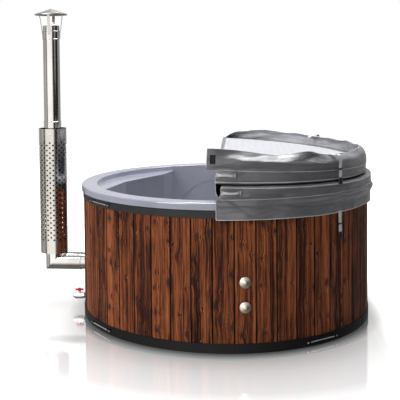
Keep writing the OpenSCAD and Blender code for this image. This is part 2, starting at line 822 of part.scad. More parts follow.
module stove_front_plate() {
    n1 = front_n + plate_t;
    color("lightgray") difference() {
        union() {
            heater_box(-plate_w / 2, plate_w / 2, front_n, n1, plate_lo, plate_top);
            for (z = hinge_zs) at(heater_az) {
                translate([hinge_t, -hinge_n, z - 15]) cylinder(h = 14.5, d = hinge_d + 6, $fn = 48);
                translate([hinge_t - 4, -hinge_n, z - 15]) cube([8, hinge_n - n1 + 0.5, 14.5]);
            }
            for (s = [-1, 1]) {
                heater_box(-125, 165, n1 - 1, n1 + 4, vent_z + s * 18 - 2, vent_z + s * 18 + 2);
                heater_box(-125, 165, n1 + 4, n1 + 6, vent_z + s * 17 - 3, vent_z + s * 17 + 3);
            }
        }
        heater_box(-door_w / 2, door_w / 2, front_n - through, front_n + through, door_lo,
            door_lo + door_h);
        heater_box(-drawer_w / 2 - 3, drawer_w / 2 + 3, front_n - through, front_n + through,
            drawer_lo - 3, drawer_lo + drawer_h + 3);
        vents(0, front_n - 1, n1 + 1);
        for (z = hinge_zs) at(heater_az) translate([hinge_t, -hinge_n, z - 20])
            cylinder(h = 30, d = hinge_d, $fn = 48);
    }
}

// Three vents, moved across by t
module vents(t, n0, n1) {
    for (i = [-1, 0, 1])
        heater_box(t + i * vent_pitch - vent_w / 2, t + i * vent_pitch + vent_w / 2,
            n0, n1, vent_z - vent_h / 2, vent_z + vent_h / 2);
}

module door_hinge_pins() {
    color("gray") for (z = hinge_zs) at(heater_az) translate([hinge_t, -hinge_n, z - 15])
        cylinder(h = pin_l, d = hinge_d, $fn = 48);
}

module stove_door() {
    color("#34363a") difference() {
        union() {
            heater_box(-door_w / 2 - door_lap, door_w / 2 + door_lap, door_n, door_n + door_t,
                door_lo - door_lap, door_lo + door_h + door_lap);
            for (z = hinge_zs) at(heater_az) {
                translate([hinge_t, -hinge_n, z]) cylinder(h = 25, d = hinge_d + 6, $fn = 48);
                translate([hinge_t, -hinge_n - 3, z]) cube([19, 6, 25]);
            }
        }
        for (z = hinge_zs) at(heater_az) translate([hinge_t, -hinge_n, z - 1])
            cylinder(h = 27, d = hinge_d + 2 * run_fit, $fn = 48);
        at_latch() translate([0, 0, -30]) cylinder(h = 60, d = latch_d + 2 * run_fit, $fn = 48);
    }
}

module door_seal() {
    a = door_w / 2 + door_lap - 4;
    b = door_w / 2 + 4;
    color("darkgray") difference() {
        heater_box(-a, a, front_n + plate_t + seat_gap, door_n, door_lo - door_lap + 4,
            door_lo + door_h + door_lap - 4);
        heater_box(-b, b, front_n - through, front_n + through, door_lo - 4, door_lo + door_h + 4);
    }
}

// The latch's spindle, with +Z pointing out of the door
module at_latch() {
    at(heater_az) translate([latch_t, -door_n, latch_z]) rotate([90, 0, 0]) children();
}

module door_latch() {
    color("silver") at_latch() {
        translate([0, 0, -21]) cylinder(h = 21 + door_t + 12, d = latch_d, $fn = 48);
        translate([0, 0, door_t + 1]) cylinder(h = 11, d = 22, $fn = 32);
        translate([-8, -110, door_t + 4]) cube([16, 110, 8]);
        translate([-7, -6, -21]) cube([14, latch_reach + 6, 6]);
    }
}

module air_slider() {
    n1 = front_n + plate_t;
    color("silver") difference() {
        union() {
            heater_box(-120, 120, n1 + seat_gap, n1 + 3.7, vent_z - 15.5, vent_z + 15.5);
            out(heater_az, n1 + 3, vent_z) translate([100, 0, 0]) cylinder(h = 20, d = 12, $fn = 32);
        }
        vents(0, n1 - 5, n1 + 5);
    }
}

module ash_drawer() {
    n1 = front_n + plate_t;
    half = drawer_w / 2;
    color("dimgray") {
        difference() {
            heater_box(-half, half, fire_n + 40, n1 + 1, drawer_lo, drawer_lo + drawer_h);
            heater_box(-half + 2, half - 2, fire_n + 42, n1 - 5, drawer_lo + 2, 400);
        }
        heater_box(-half - 12, half + 12, n1 + 1, n1 + 5, drawer_lo - 12,
            drawer_lo + drawer_h + 12);
        out(heater_az, n1 + 4, drawer_lo + drawer_h / 2) {
            cylinder(h = 22, d = 8, $fn = 32);
            translate([0, 0, 20]) cylinder(h = 8, d = 24, $fn = 32);
        }
    }
}

module heater_grilles() {
    color("gainsboro") at_grilles() difference() {
        union() {
            translate([0, 0, -6]) cylinder(h = 6, d = 92, $fn = 64);
            cylinder(h = shell_t + 5, d = grille_pipe_d - 8.6, $fn = 48);
        }
        translate([0, 0, -2]) cylinder(h = 60, d = grille_pipe_d - 14, $fn = 48);
        for (i = [-2:2]) translate([-16, 7.5 * i - 1.75, -10]) cube([32, 3.5, 12]);
    }
}

// Flue

module stub_solid(r) {
    flue_leg_mitred(r);
    translate([flue_corner[0], flue_corner[1], flue_z]) intersection() {
        rotate([0, -90, 0]) translate([0, 0, -200])
            cylinder(h = 200 + stub_end + flue_corner[0], r = r, $fn = 96);
        rotate([0, 0, -flue_turn / 2]) translate([-half_space, -half_space, -half_space])
            cube([half_space, 2 * half_space, 2 * half_space]);
    }
}

module flue_leg_mitred(r) {
    translate([flue_corner[0], flue_corner[1], flue_z]) intersection() {
        rotate([0, 0, heater_az]) translate([100 - 200, 0, 0]) rotate([0, 90, 0])
            translate([0, 0, -flue_run + fire_w / 2 + 100])
                cylinder(h = flue_run - fire_w / 2 + 100, r = r, $fn = 96);
        rotate([0, 0, -flue_turn / 2]) translate([0, -half_space, -half_space])
            cube([half_space, 2 * half_space, 2 * half_space]);
    }
}

module flue_stub() {
    color("lightgray") difference() {
        stub_solid(flue_d / 2);
        stub_solid_bore();
    }
}

module stub_solid_bore() {
    r = flue_d / 2 - flue_t;
    flue_leg(r, fire_w / 2 - 10);
    translate([flue_corner[0], flue_corner[1], flue_z]) {
        sphere(r = r, $fn = 96);
        rotate([0, -90, 0]) cylinder(h = stub_end, r = r, $fn = 96);
    }
}

module flue_grommet() {
    color("#2a2a2a") translate([-board_out - 1, flue_y, flue_z]) rotate([0, 90, 0])
        tube(flue_d / 2 + 15 - seat_gap, flue_d / 2 + seat_gap, board_t + 2, 64);
}

// Bead rolled into a pipe along +Z
module bead(r, z) {
    translate([0, 0, z]) rotate_extrude($fn = 96) translate([r, 0]) circle(r = bead_r, $fn = 24);
}

module flue_elbow() {
    r = elbow_d / 2;
    l = flue_x - elbow_start;
    h = elbow_top - flue_z;
    bore = flue_d / 2 + sleeve_fit;
    color("#d8d8d6") translate([-flue_x, flue_y, flue_z]) difference() {
        union() {
            intersection() {
                rotate([0, 90, 0]) translate([0, 0, -2 * r]) cylinder(h = l + 2 * r, r = r, $fn = 96);
                rotate([0, 45, 0]) translate([0, -2 * r, -2 * l]) cube([4 * l, 4 * r, 4 * l]);
            }
            intersection() {
                translate([0, 0, -2 * r]) cylinder(h = h + 2 * r, r = r, $fn = 96);
                rotate([0, 45, 0]) translate([-4 * l, -2 * r, -2 * l]) cube([4 * l, 4 * r, 4 * l]);
            }
            rotate([0, 90, 0]) bead(r, l - 6);
        }
        rotate([0, 90, 0]) cylinder(h = l + cut, r = bore, $fn = 96);
        cylinder(h = h + cut, r = bore, $fn = 96);
        sphere(r = bore, $fn = 96);
    }
}

module flue_lower_pipe() {
    r = flue_d / 2;
    socket_h = 46;
    color("#d8d8d6") translate([-flue_x, flue_y, 0]) {
        difference() {
            union() {
                translate([0, 0, elbow_top - 70])
                    cylinder(h = flue_joint_z - elbow_top + 70, r = r, $fn = 96);
                translate([0, 0, flue_joint_z - 4])
                    cylinder(h = socket_h, r = r + flue_t + sleeve_fit, $fn = 96);
                bead(r + flue_t, flue_joint_z + socket_h - 7);
            }
            translate([0, 0, elbow_top - 80]) cylinder(h = 1400, r = r - flue_t, $fn = 96);
            translate([0, 0, flue_joint_z]) cylinder(h = 80, r = r + sleeve_fit, $fn = 96);
        }
    }
}

module flue_upper_pipe() {
    color("#d8d8d6") translate([-flue_x, flue_y, flue_joint_z + seat_gap])
        tube(flue_d / 2, flue_d / 2 - flue_t, flue_top - flue_joint_z - seat_gap);
}

module cap_collar() {
    r = flue_d / 2 + sleeve_fit;
    color("#d8d8d6") translate([-flue_x, flue_y, collar_z]) difference() {
        union() {
            cylinder(h = collar_h, r = r + flue_t, $fn = 96);
            bead(r + flue_t, 3);
            bead(r + flue_t, collar_h - 3);
        }
        translate([0, 0, -cut]) cylinder(h = collar_h + 2 * cut, r = r, $fn = 96);
    }
}

module cap_legs() {
    r = flue_d / 2 + sleeve_fit + flue_t;
    foot = r + seat_gap;
    head = foot + leg_splay;
    far = norm([head + leg_t, leg_w / 2]);
    under = hat_z + hat_h - 2 - (hat_h - 1) * far / (hat_d / 2 - 3) - 0.2;
    toe = collar_z + 12;
    bend = toe + leg_foot_h;
    color("silver") translate([-flue_x, flue_y, 0]) for (i = [0:3]) rotate([0, 0, 90 * i]) {
        translate([0, leg_w / 2, 0]) rotate([90, 0, 0]) linear_extrude(height = leg_w) polygon([
            [foot, toe], [foot + leg_t, toe], [foot + leg_t, bend],
            [head + leg_t, under], [head, under], [foot, bend]
        ]);
        translate([foot, 0, (toe + bend) / 2]) rotate([0, 90, 0])
            cylinder(h = leg_t + 2, d = 8, $fn = 24);
    }
}

module cap_hat() {
    color("#d8d8d6") translate([-flue_x, flue_y, hat_z]) rotate_extrude($fn = 96) polygon([
        [0, hat_h], [0, hat_h - 2], [hat_d / 2 - 3, -1], [hat_d / 2 - 3, -6], [hat_d / 2, -6],
        [hat_d / 2, 1]
    ]);
}

module heat_shield() {
    r = shield_d / 2;
    rows_lo = shield_lo + (shield_hi - shield_lo - (hole_rows - 1) * row_pitch) / 2;
    color("#c9c2b8") translate([-flue_x, flue_y, 0]) difference() {
        translate([0, 0, shield_lo]) tube(r, r - shield_t, shield_hi - shield_lo);
        for (i = [0:hole_rows - 1]) for (j = [0:row_holes / 2 - 1])
            translate([0, 0, rows_lo + i * row_pitch])
                rotate([0, 0, (j + (i % 2) / 2) * 360 / row_holes])
                    rotate([45, 0, 0]) cube([2 * r + 20, hole_side, hole_side], center = true);
    }
}

module shield_fixings() {
    color("silver") translate([-flue_x, flue_y, 0]) for (z = bracket_zs) translate([0, 0, z]) {
        for (i = [0:2]) rotate([0, 0, 120 * i + 30])
            translate([shield_d / 2 + 0.1, 0, 6]) rotate([0, 90, 0])
                cylinder(h = 4, d1 = 10, d2 = 5, $fn = 24);
        difference() {
            union() {
                cylinder(h = 12, r = flue_d / 2 + 2.2, $fn = 64);
                for (i = [0:2]) rotate([0, 0, 120 * i + 30]) translate([flue_d / 2 + 1, -6, 0])
                    cube([shield_d / 2 - shield_t - flue_d / 2 - 1 - seat_gap, 12, 12]);
            }
            translate([0, 0, -cut]) cylinder(h = 14, r = flue_d / 2 + 0.2, $fn = 64);
        }
    }
}

// Cover

// Height of a panel's upper face at x
function panel_top(x) = panel_z + fold_t - taper * x / cover_r;

// Outline of the half disc, moved inwards by d, counter-clockwise from the front
function half_disc(d) =
    let (r = cover_r - d, x0 = 1 + max(d, 0), a = acos(x0 / r))
    concat(
        [for (i = [0:arc_steps]) r * [cos(-a + 2 * a * i / arc_steps), sin(-a + 2 * a * i / arc_steps)]],
        [for (i = [1:edge_steps - 1])
            [x0, r * sin(a) * (1 - 2 * i / edge_steps)]]
    );

// Rings of the padded panel: distance in, share of the height and swell of the face
panel_rings = [
    [420, 0, 0], [22, 0, 0], [9, 0.05, 0], [0, 0.12, 0], [0, 0.36, 0], [-2, 0.6, 0],
    [0, 0.86, 0], [8, 0.965, 0], [22, 1, 0], [80, 1, 0.6], [200, 1, 0.9], [420, 1, 1]
];

module panel_form() {
    ring_solid([for (k = panel_rings)
        [for (p = half_disc(k[0]))
            [p[0], p[1], panel_z + (panel_top(p[0]) - panel_z) * k[1] + crown * k[2]]]]);
}

module panel_core(grow) {
    r = cover_r - core_in + grow;
    x0 = core_in - grow;
    z0 = panel_z + 8 - grow;
    color("white") difference() {
        translate([0, 0, z0]) cylinder(h = fold_t, r = r, $fn = 120);
        translate([-2 * r, -2 * r, 0]) cube([2 * r + x0, 4 * r, 2 * rim_h]);
        translate([0, -2 * r, panel_z + fold_t - 8 + grow]) rotate([0, taper_a, 0])
            translate([-200, 0, 0]) cube([2 * r, 4 * r, 300]);
    }
}

module panel_jacket() {
    difference() {
        panel_form();
        panel_core(seat_gap);
    }
}

module panel_lining() {
    r = cover_r - 24;
    difference() {
        translate([0, 0, panel_z - lining_t]) cylinder(h = lining_t, r = r, $fn = 180);
        translate([-2 * r, -2 * r, 0]) cube([2 * r + hinge_x + 2, 4 * r, 2 * rim_h]);
    }
}

// Carry handle: a webbing loop on a panel's side at an azimuth
module panel_handle(az, z) {
    out(az, cover_r + 2.4, z) {
        translate([-58, -handle_w / 2, 0]) cube([20, handle_w, 3]);
        translate([38, -handle_w / 2, 0]) cube([20, handle_w, 3]);
        for (s = [-1, 1]) translate([s * 38 - 1.5, -handle_w / 2, 0]) cube([3, handle_w, 14]);
        translate([-39.5, -handle_w / 2, 11]) cube([79, handle_w, 3]);
    }
}

module lower_foam_core() {
    panel_core(0);
}

module lower_jacket() {
    color("#55565a") panel_jacket();
}

module lower_lining() {
    color("white") panel_lining();
}

// Share of the bulge where the skirt passes over the top hoop's bolts
function over_bolts(az) =
    exp(-pow((az - hoop_joint_az - 90) / 14, 4)) + exp(-pow((az - hoop_joint_az - 180) / 14, 4));

// The lower skirt bellies over the rim's lip, is drawn in at its hem and runs straight past the fold
function lower_skirt_point(az, s, d) =
    let (
        wave = skirt_wave * (sin(az * 11) + 0.6 * sin(az * 23 + 40)),
        pull = (skirt_draw + bolt_bulge) * over_bolts(az) - skirt_draw,
        draw = max(s - 0.2, 0) / 0.8 * (wave + pull),
        r = skirt_r + (s < 0.2 ? 0 : skirt_belly * sin(180 * pow(s, 0.7))) + draw + d
    )
    [r * sin(az), az < 0 ? -r : az > 180 ? r : -r * cos(az), skirt_top - s * skirt_l];

function lower_skirt_grid(d) = [for (i = [0:72])
    [for (j = [0:4]) lower_skirt_point(-2.6 + 185.2 * i / 72, j / 4, d)]];

module lower_skirt() {
    color("#5c5d61") sheet_solid(lower_skirt_grid(skirt_t / 2), lower_skirt_grid(-skirt_t / 2));
}

module lower_handles() {
    color("#4a4b4f") for (az = handle_az) panel_handle(az, panel_z + fold_t * 0.58);
}

// The closed upper half, folded over onto the lower one
module folded() {
    translate([-hinge_x, 0, hinge_z]) rotate([0, 180 + 2 * taper_a, 0])
        translate([hinge_x, 0, -hinge_z]) mirror([1, 0, 0]) children();
}

module upper_foam_core() {
    folded() panel_core(0);
}

module upper_jacket() {
    color("#5a5b5f") folded() panel_jacket();
}

module upper_lining() {
    color("white") folded() panel_lining();
}

module upper_handles() {
    color("#4a4b4f") folded() for (az = handle_az) panel_handle(az, panel_z + fold_t * 0.45);
}

// How far the upper skirt's free edge leans in at an azimuth, in degrees
function skirt_lean(az) = 22 + 92 / (1 + exp(-(az - 112) / 13)) + 6 * sin(az * 7);

// The strap's weight pulls the free edge down at the front strap
function skirt_sag(az) = 1 - 0.3 * exp(-pow((az - strap_az) / 10, 4));

// The upper skirt stands on the folded panel's edge and flops over inwards
function upper_skirt_point(az, j, d) =
    let (
        steps = 6, piece = skirt_l * skirt_sag(az) / steps, lean = skirt_lean(az),
        ang = [for (k = [0:steps]) lean * pow(max(k - 1, 0) / (steps - 1), 1.6)],
        inward = j == 0 ? 0 : piece * ([for (k = [1:j]) sin(ang[k])] * [for (k = [1:j]) 1]),
        rise = j == 0 ? 0 : piece * ([for (k = [1:j]) cos(ang[k])] * [for (k = [1:j]) 1]),
        r = skirt_r - inward + d * cos(ang[j])
    )
    [r * sin(az), -r * cos(az), skirt_top - 7 - rise - d * sin(ang[j])];

function upper_skirt_grid(d) = [for (i = [0:80])
    let (az = -4 + 188 * i / 80) [for (j = [0:6]) upper_skirt_point(az, j, d)]];

module upper_skirt() {
    color("#66676b") folded()
        sheet_solid(upper_skirt_grid(skirt_t / 2), upper_skirt_grid(-skirt_t / 2));
}

// Point of the closed upper half, after folding
function folded_at(p) =
    let (u = hinge_x - p[0], w = p[2] - hinge_z, a = 180 + 2 * taper_a)
    [u * cos(a) + w * sin(a) - hinge_x, p[1], hinge_z - u * sin(a) + w * cos(a)];

// Loose strip that joins the two halves at the fold and hangs in a loop between them
module fold_gusset() {
    t = 2;
    face = -2 * hinge_x + 1 - seat_gap;
    sewn = 1 - seat_gap - t;
    w = sewn - face;
    path = [
        [face, hinge_z + 60], [face, hinge_z + 24], [face + 0.05 * w, hinge_z - 12],
        [face + 0.2 * w, panel_z + 50], [face + 0.4 * w, panel_z + 36],
        [face + 0.62 * w, panel_z + 34], [face + 0.85 * w, panel_z + 44],
        [sewn, panel_z + 54], [sewn, panel_z + 76]
    ];
    n = len(path) - 1;
    side = [for (p = path)
        [p[0] + (p[0] > face + w / 2 ? t : -t),
            p[1] - (p[0] > face + w / 10 && p[0] < face + 0.9 * w ? t : 0)]];
    color("#2c2d30") translate([0, cover_r - 25, 0]) rotate([90, 0, 0])
        linear_extrude(height = 2 * (cover_r - 25))
            polygon(concat(path, [for (i = [n:-1:0]) side[i]]));
}

// Hanging strap with its slider and buckle, its inner face at a distance r
module strap(az, z, r) {
    out(az, r, z) {
        color("#77787b") translate([-strap_w / 2, -strap_l + 34, 0])
            cube([strap_w, strap_l - 34, 2.5]);
        color("#151515") translate([-strap_w / 2 - 3, -strap_l * 0.48, -1]) difference() {
            cube([strap_w + 6, 9, 5.5]);
            translate([2.7, -cut, 0.7]) cube([strap_w + 0.6, 11, 3.1]);
        }
        color("#151515") translate([-strap_w / 2 - 2, -strap_l, -2]) difference() {
            cube([strap_w + 4, 40, 9]);
            translate([1.7, 33.7, 1.7]) cube([strap_w + 0.6, 10, 3.1]);
        }
    }
}

strap_lap = 12;

// Azimuths of a strap's middle and edges
function strap_reach(az) = [for (k = [-1:1]) az + k * atan(strap_w / 2 / cover_r)];

module lower_strap(az) {
    hem = [for (a = strap_reach(az)) for (s = [1, 0.95, 0.9]) lower_skirt_point(a, s, skirt_t / 2)];
    hem_r = max([for (p = hem) norm([p[0], p[1]])]);
    strap(az, hem[0][2] + strap_lap, hem_r + 2 * seat_gap);
}

// The upper half's strap lies over the skirt's free edge and hangs down outside
module upper_strap(az) {
    pts = [for (a = strap_reach(az)) for (j = [0:6])
        folded_at(upper_skirt_point(a, j, skirt_t / 2))];
    crest = max([for (p = pts) p[2]]);
    crest_n = [for (p = pts) if (p[2] == crest) norm([p[0], p[1]])][0];
    strap_n = cover_r + 6.5;
    strap(az, crest + seat_gap + 2.5, strap_n);
    color("#77787b") out(az, crest_n - 14, crest + seat_gap)
        translate([-strap_w / 2, 0, 0]) cube([strap_w, 2.5, strap_n - crest_n + 15]);
}

module lower_strap_front() {
    lower_strap(strap_az);
}

module lower_strap_back() {
    lower_strap(180 - strap_az);
}

module upper_strap_front() {
    upper_strap(strap_az);
}

module upper_strap_back() {
    upper_strap(180 - strap_az);
}

base_bearers();
base_board();
timber_frame();
seat_props();
floor_insulation();
wall_insulation();
tub_shell();
cladding_boards();
top_hoop();
bottom_hoop();
hoop_bolts();
drain_strainer();
drain_tail();
drain_pipe();
drain_bush();
valve_body();
valve_ball();
valve_handle();
port_flanges();
port_gaskets();
port_pipes();
port_inlets();
return_plug();
suction_plug();
stove_jacket();
firebox();
fire_grate();
stove_front_plate();
stove_door();
door_seal();
door_hinge_pins();
door_latch();
air_slider();
ash_drawer();
heater_grilles();
flue_stub();
flue_grommet();
flue_elbow();
flue_lower_pipe();
flue_upper_pipe();
cap_collar();
cap_legs();
cap_hat();
heat_shield();
shield_fixings();
lower_foam_core();
lower_jacket();
lower_lining();
lower_skirt();
lower_handles();
upper_foam_core();
upper_jacket();
upper_lining();
upper_skirt();
upper_handles();
fold_gusset();
lower_strap_front();
lower_strap_back();
upper_strap_front();
upper_strap_back();
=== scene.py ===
"""Round hot tub with a folded cover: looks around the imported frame. Metres, +Z up, front -Y."""

import math

import bmesh
import bpy
import numpy as np
from mathutils import Matrix, Vector


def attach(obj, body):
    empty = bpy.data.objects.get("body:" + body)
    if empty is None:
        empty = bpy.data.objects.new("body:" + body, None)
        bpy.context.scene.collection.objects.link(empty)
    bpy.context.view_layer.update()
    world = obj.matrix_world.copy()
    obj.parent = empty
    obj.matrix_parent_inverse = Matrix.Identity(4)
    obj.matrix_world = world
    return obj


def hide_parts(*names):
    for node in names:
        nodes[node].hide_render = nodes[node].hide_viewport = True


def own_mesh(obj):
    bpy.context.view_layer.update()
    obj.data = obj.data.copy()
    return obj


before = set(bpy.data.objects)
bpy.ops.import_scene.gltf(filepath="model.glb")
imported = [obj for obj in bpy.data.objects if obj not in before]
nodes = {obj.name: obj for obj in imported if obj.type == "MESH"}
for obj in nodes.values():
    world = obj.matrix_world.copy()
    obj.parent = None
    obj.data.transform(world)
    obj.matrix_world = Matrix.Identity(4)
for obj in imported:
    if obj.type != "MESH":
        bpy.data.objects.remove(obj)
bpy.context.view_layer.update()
scene = bpy.context.scene

# Sizes shared with the frame, in metres
COVER_R = 1.020
PANEL_Z = 0.9103
FOLD_T = 0.102
TAPER = 0.028
CROWN = 0.0045
HINGE_X = 0.017
TILT = math.atan(TAPER / COVER_R)
HINGE_Z = PANEL_Z + FOLD_T + (2 * CROWN + 0.0003) / 2
STRAP_AZ = 45.5
SEAM_UP = 0.0165
FLUE_X, FLUE_Y = -1.245, 0.02
SHIELD_IN = 0.0983
SKIRT_L = 0.124
UPPER_SPAN = (-3.2, 178.4)
LOWER_SPAN = (-1.7, 181.7)
LINING_R, LINING_X = 0.935, HINGE_X + 0.010
CLOTH = 0.0009  # half the thickness of the skirts' cloth
# Cladding: width of a board, degrees from seam to seam and the first seam's azimuth
BOARD_W, BOARD_STEP, FIRST_SEAM = 0.131, 7.5, 4.3


# Shape helpers


def polar(az, r, z):
    a = np.radians(az)
    return np.stack([r * np.sin(a), -r * np.cos(a), z + 0 * a], axis=-1)


def folded(p):
    """Points of the closed upper half, given as the lower half's mirror image, after folding."""
    p = np.asarray(p, float)
    u, w = HINGE_X - p[..., 0], p[..., 2] - HINGE_Z
    a = math.pi + 2 * TILT
    x = u * math.cos(a) + w * math.sin(a) - HINGE_X
    z = HINGE_Z - u * math.sin(a) + w * math.cos(a)
    return np.stack([x, p[..., 1], z], axis=-1)


def same(p):
    return np.asarray(p, float)


def ripple(u, v, seed, waves=7, low=1.0, high=3.0):
    """Smooth seeded waves over two lengths in metres, about -1 to 1. low and high are waves a metre."""
    rng = np.random.RandomState(seed)
    total = np.zeros(np.broadcast(u, v).shape)
    for _ in range(waves):
        f = rng.uniform(low, high)
        t = rng.uniform(-0.9, 0.9)
        total = total + np.sin(2 * math.pi * f * (u * math.cos(t) + v * math.sin(t)) + rng.uniform(0, 6.28))
    return total / math.sqrt(waves)


def smooth_between(x, xs, ys):
    """Smooth curve through a few chosen points."""
    x = np.asarray(x, float)
    xs, ys = np.asarray(xs, float), np.asarray(ys, float)
    i = np.clip(np.searchsorted(xs, x) - 1, 0, len(xs) - 2)
    t = np.clip((x - xs[i]) / (xs[i + 1] - xs[i]), 0, 1)
    slope = np.gradient(ys, xs)
    h = xs[i + 1] - xs[i]
    t2, t3 = t * t, t * t * t
    return (
        (2 * t3 - 3 * t2 + 1) * ys[i]
        + (t3 - 2 * t2 + t) * h * slope[i]
        + (3 * t2 - 2 * t3) * ys[i + 1]
        + (t3 - t2) * h * slope[i + 1]
    )


def make(name, verts, faces, material, body=None, smooth=True):
    mesh = bpy.data.meshes.new(name)
    mesh.from_pydata([tuple(v) for v in np.asarray(verts, float).reshape(-1, 3)], [], faces)
    mesh.validate()
    mesh.update()
    if smooth:
        mesh.polygons.foreach_set("use_smooth", [True] * len(mesh.polygons))
    obj = bpy.data.objects.new(name, mesh)
    scene.collection.objects.link(obj)
    if material:
        mesh.materials.append(material)
    if body:
        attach(obj, body)
    return obj


def outwards(obj):
    """Turns the faces so that a closed mesh's normals point out."""
    b = bmesh.new()
    b.from_mesh(obj.data)
    bmesh.ops.recalc_face_normals(b, faces=b.faces)
    b.to_mesh(obj.data)
    b.free()
    return obj


def grid_faces(n, m, base=0, close_n=False, close_m=False):
    """Faces of an n by m grid of points, row after row."""
    faces = []
    for i in range(n if close_n else n - 1):
        for j in range(m if close_m else m - 1):
            a, b = i * m + j, i * m + (j + 1) % m
            c, d = ((i + 1) % n) * m + (j + 1) % m, ((i + 1) % n) * m + j
            faces.append((base + a, base + b, base + c, base + d))
    return faces


def thick_sheet(top, under):
    """Closed mesh between two grids of points of the same size."""
    n, m = top.shape[:2]
    verts = np.concatenate([top.reshape(-1, 3), under.reshape(-1, 3)])
    s = n * m
    faces = grid_faces(n, m)
    faces += [tuple(reversed(f)) for f in grid_faces(n, m, s)]
    for i in range(n - 1):
        for j in (0, m - 1):
            a, b = i * m + j, (i + 1) * m + j
            faces.append((a, b, s + b, s + a) if j == 0 else (b, a, s + a, s + b))
    for j in range(m - 1):
        for i in (0, n - 1):
            a, b = i * m + j, i * m + j + 1
            faces.append((b, a, s + a, s + b) if i == 0 else (a, b, s + b, s + a))
    return verts, faces


def normals_of(grid):
    du = np.gradient(grid, axis=0)
    dv = np.gradient(grid, axis=1)
    n = np.cross(du, dv)
    return n / np.maximum(np.linalg.norm(n, axis=-1, keepdims=True), 1e-12)


def tube(path, radius, sides=10, closed=False):
    """Verts and faces of a round tube along points; radius may be one value or one per point."""
    path = np.asarray(path, float)
    k = len(path)
    radius = np.broadcast_to(np.asarray(radius, float), (k,))
    if closed:
        tangent = np.roll(path, -1, 0) - np.roll(path, 1, 0)
    else:
        tangent = np.gradient(path, axis=0)
    tangent /= np.maximum(np.linalg.norm(tangent, axis=1, keepdims=True), 1e-12)
    up = np.array([0.0, 0.0, 1.0])
    if abs(tangent[0] @ up) > 0.9:
        up = np.array([1.0, 0.0, 0.0])
    side = np.cross(tangent[0], up)
    rings = []
    for i in range(k):
        side = side - tangent[i] * (side @ tangent[i])
        side /= np.linalg.norm(side)
        other = np.cross(tangent[i], side)
        a = np.arange(sides) * 2 * math.pi / sides
        rings.append(path[i] + radius[i] * (np.outer(np.cos(a), side) + np.outer(np.sin(a), other)))
    verts = np.array(rings)
    faces = grid_faces(k, sides, close_n=closed, close_m=True)
    if not closed:
        faces.append(tuple(range(sides)))
        faces.append(tuple((k - 1) * sides + j for j in reversed(range(sides))))
    return verts.reshape(-1, 3), faces


def joined(parts):
    verts, faces, base = [], [], 0
    for v, f in parts:
        v = np.asarray(v, float).reshape(-1, 3)
        verts.append(v)
        faces += [tuple(i + base for i in g) for g in f]
        base += len(v)
    return np.concatenate(verts), faces


def resampled(path, step, closed=False):
    path = np.asarray(path, float)
    if closed:
        path = np.concatenate([path, path[:1]])
    d = np.concatenate([[0], np.cumsum(np.linalg.norm(np.diff(path, axis=0), axis=1))])
    n = max(2, int(round(d[-1] / step)) + 1)
    t = np.linspace(0, d[-1], n)
    return np.stack([np.interp(t, d, path[:, i]) for i in range(3)], axis=1)


def stitches(path, radius=0.0007, pitch=0.007, length=0.0045, closed=False):
    """Short sewing stitches laid along a path."""
    pts = resampled(path, pitch, closed)
    parts = []
    for a, b in zip(pts[:-1], pts[1:]):
        d = (b - a) / max(np.linalg.norm(b - a), 1e-9)
        mid = (a + b) / 2
        line = [mid - d * length / 2, mid - d * length * 0.3, mid + d * length * 0.3, mid + d * length / 2]
        parts.append(tube(line, [radius * 0.35, radius, radius, radius * 0.35], 6))
    return joined(parts)


def rounded_plate(w, h, t, r, bevel=0.0006, n=6):
    """Thin plate in x and y with round corners and a softened edge, its back at z = 0."""
    outline = []
    for side_x, side_y, a0 in ((1, 1, 0), (-1, 1, 90), (-1, -1, 180), (1, -1, 270)):
        cx, cy = side_x * (w / 2 - r), side_y * (h / 2 - r)
        for i in range(n + 1):
            a = math.radians(a0 + 90 * i / n)
            outline.append((cx + r * math.cos(a), cy + r * math.sin(a)))
    o = np.array(outline)
    k = len(o)
    inner = o * (1 - 2 * bevel / np.array([w, h]))
    rings = [
        np.column_stack([inner, np.zeros(k)]),
        np.column_stack([o, np.full(k, bevel)]),
        np.column_stack([o, np.full(k, t - bevel)]),
        np.column_stack([inner, np.full(k, t)]),
    ]
    faces = [tuple(f) for f in grid_faces(4, k, close_m=True)]
    faces.append(tuple(reversed(range(k))))
    faces.append(tuple(3 * k + i for i in range(k)))
    return np.concatenate(rings), faces


def placed(part, az, r, z, turn=0.0):
    """A part drawn in x (along the wall), y (up) and z (out), set on the wall at an azimuth."""
    v, f = part
    v = np.asarray(v, float).reshape(-1, 3)
    m = (
        Matrix.Rotation(math.radians(az), 4, "Z")
        @ Matrix.Translation((0, -r, z))
        @ Matrix.Rotation(math.pi / 2, 4, "X")
        @ Matrix.Rotation(math.radians(turn), 4, "Z")
    )
    a = np.array(m)
    return v @ a[:3, :3].T + a[:3, 3], f


# Materials


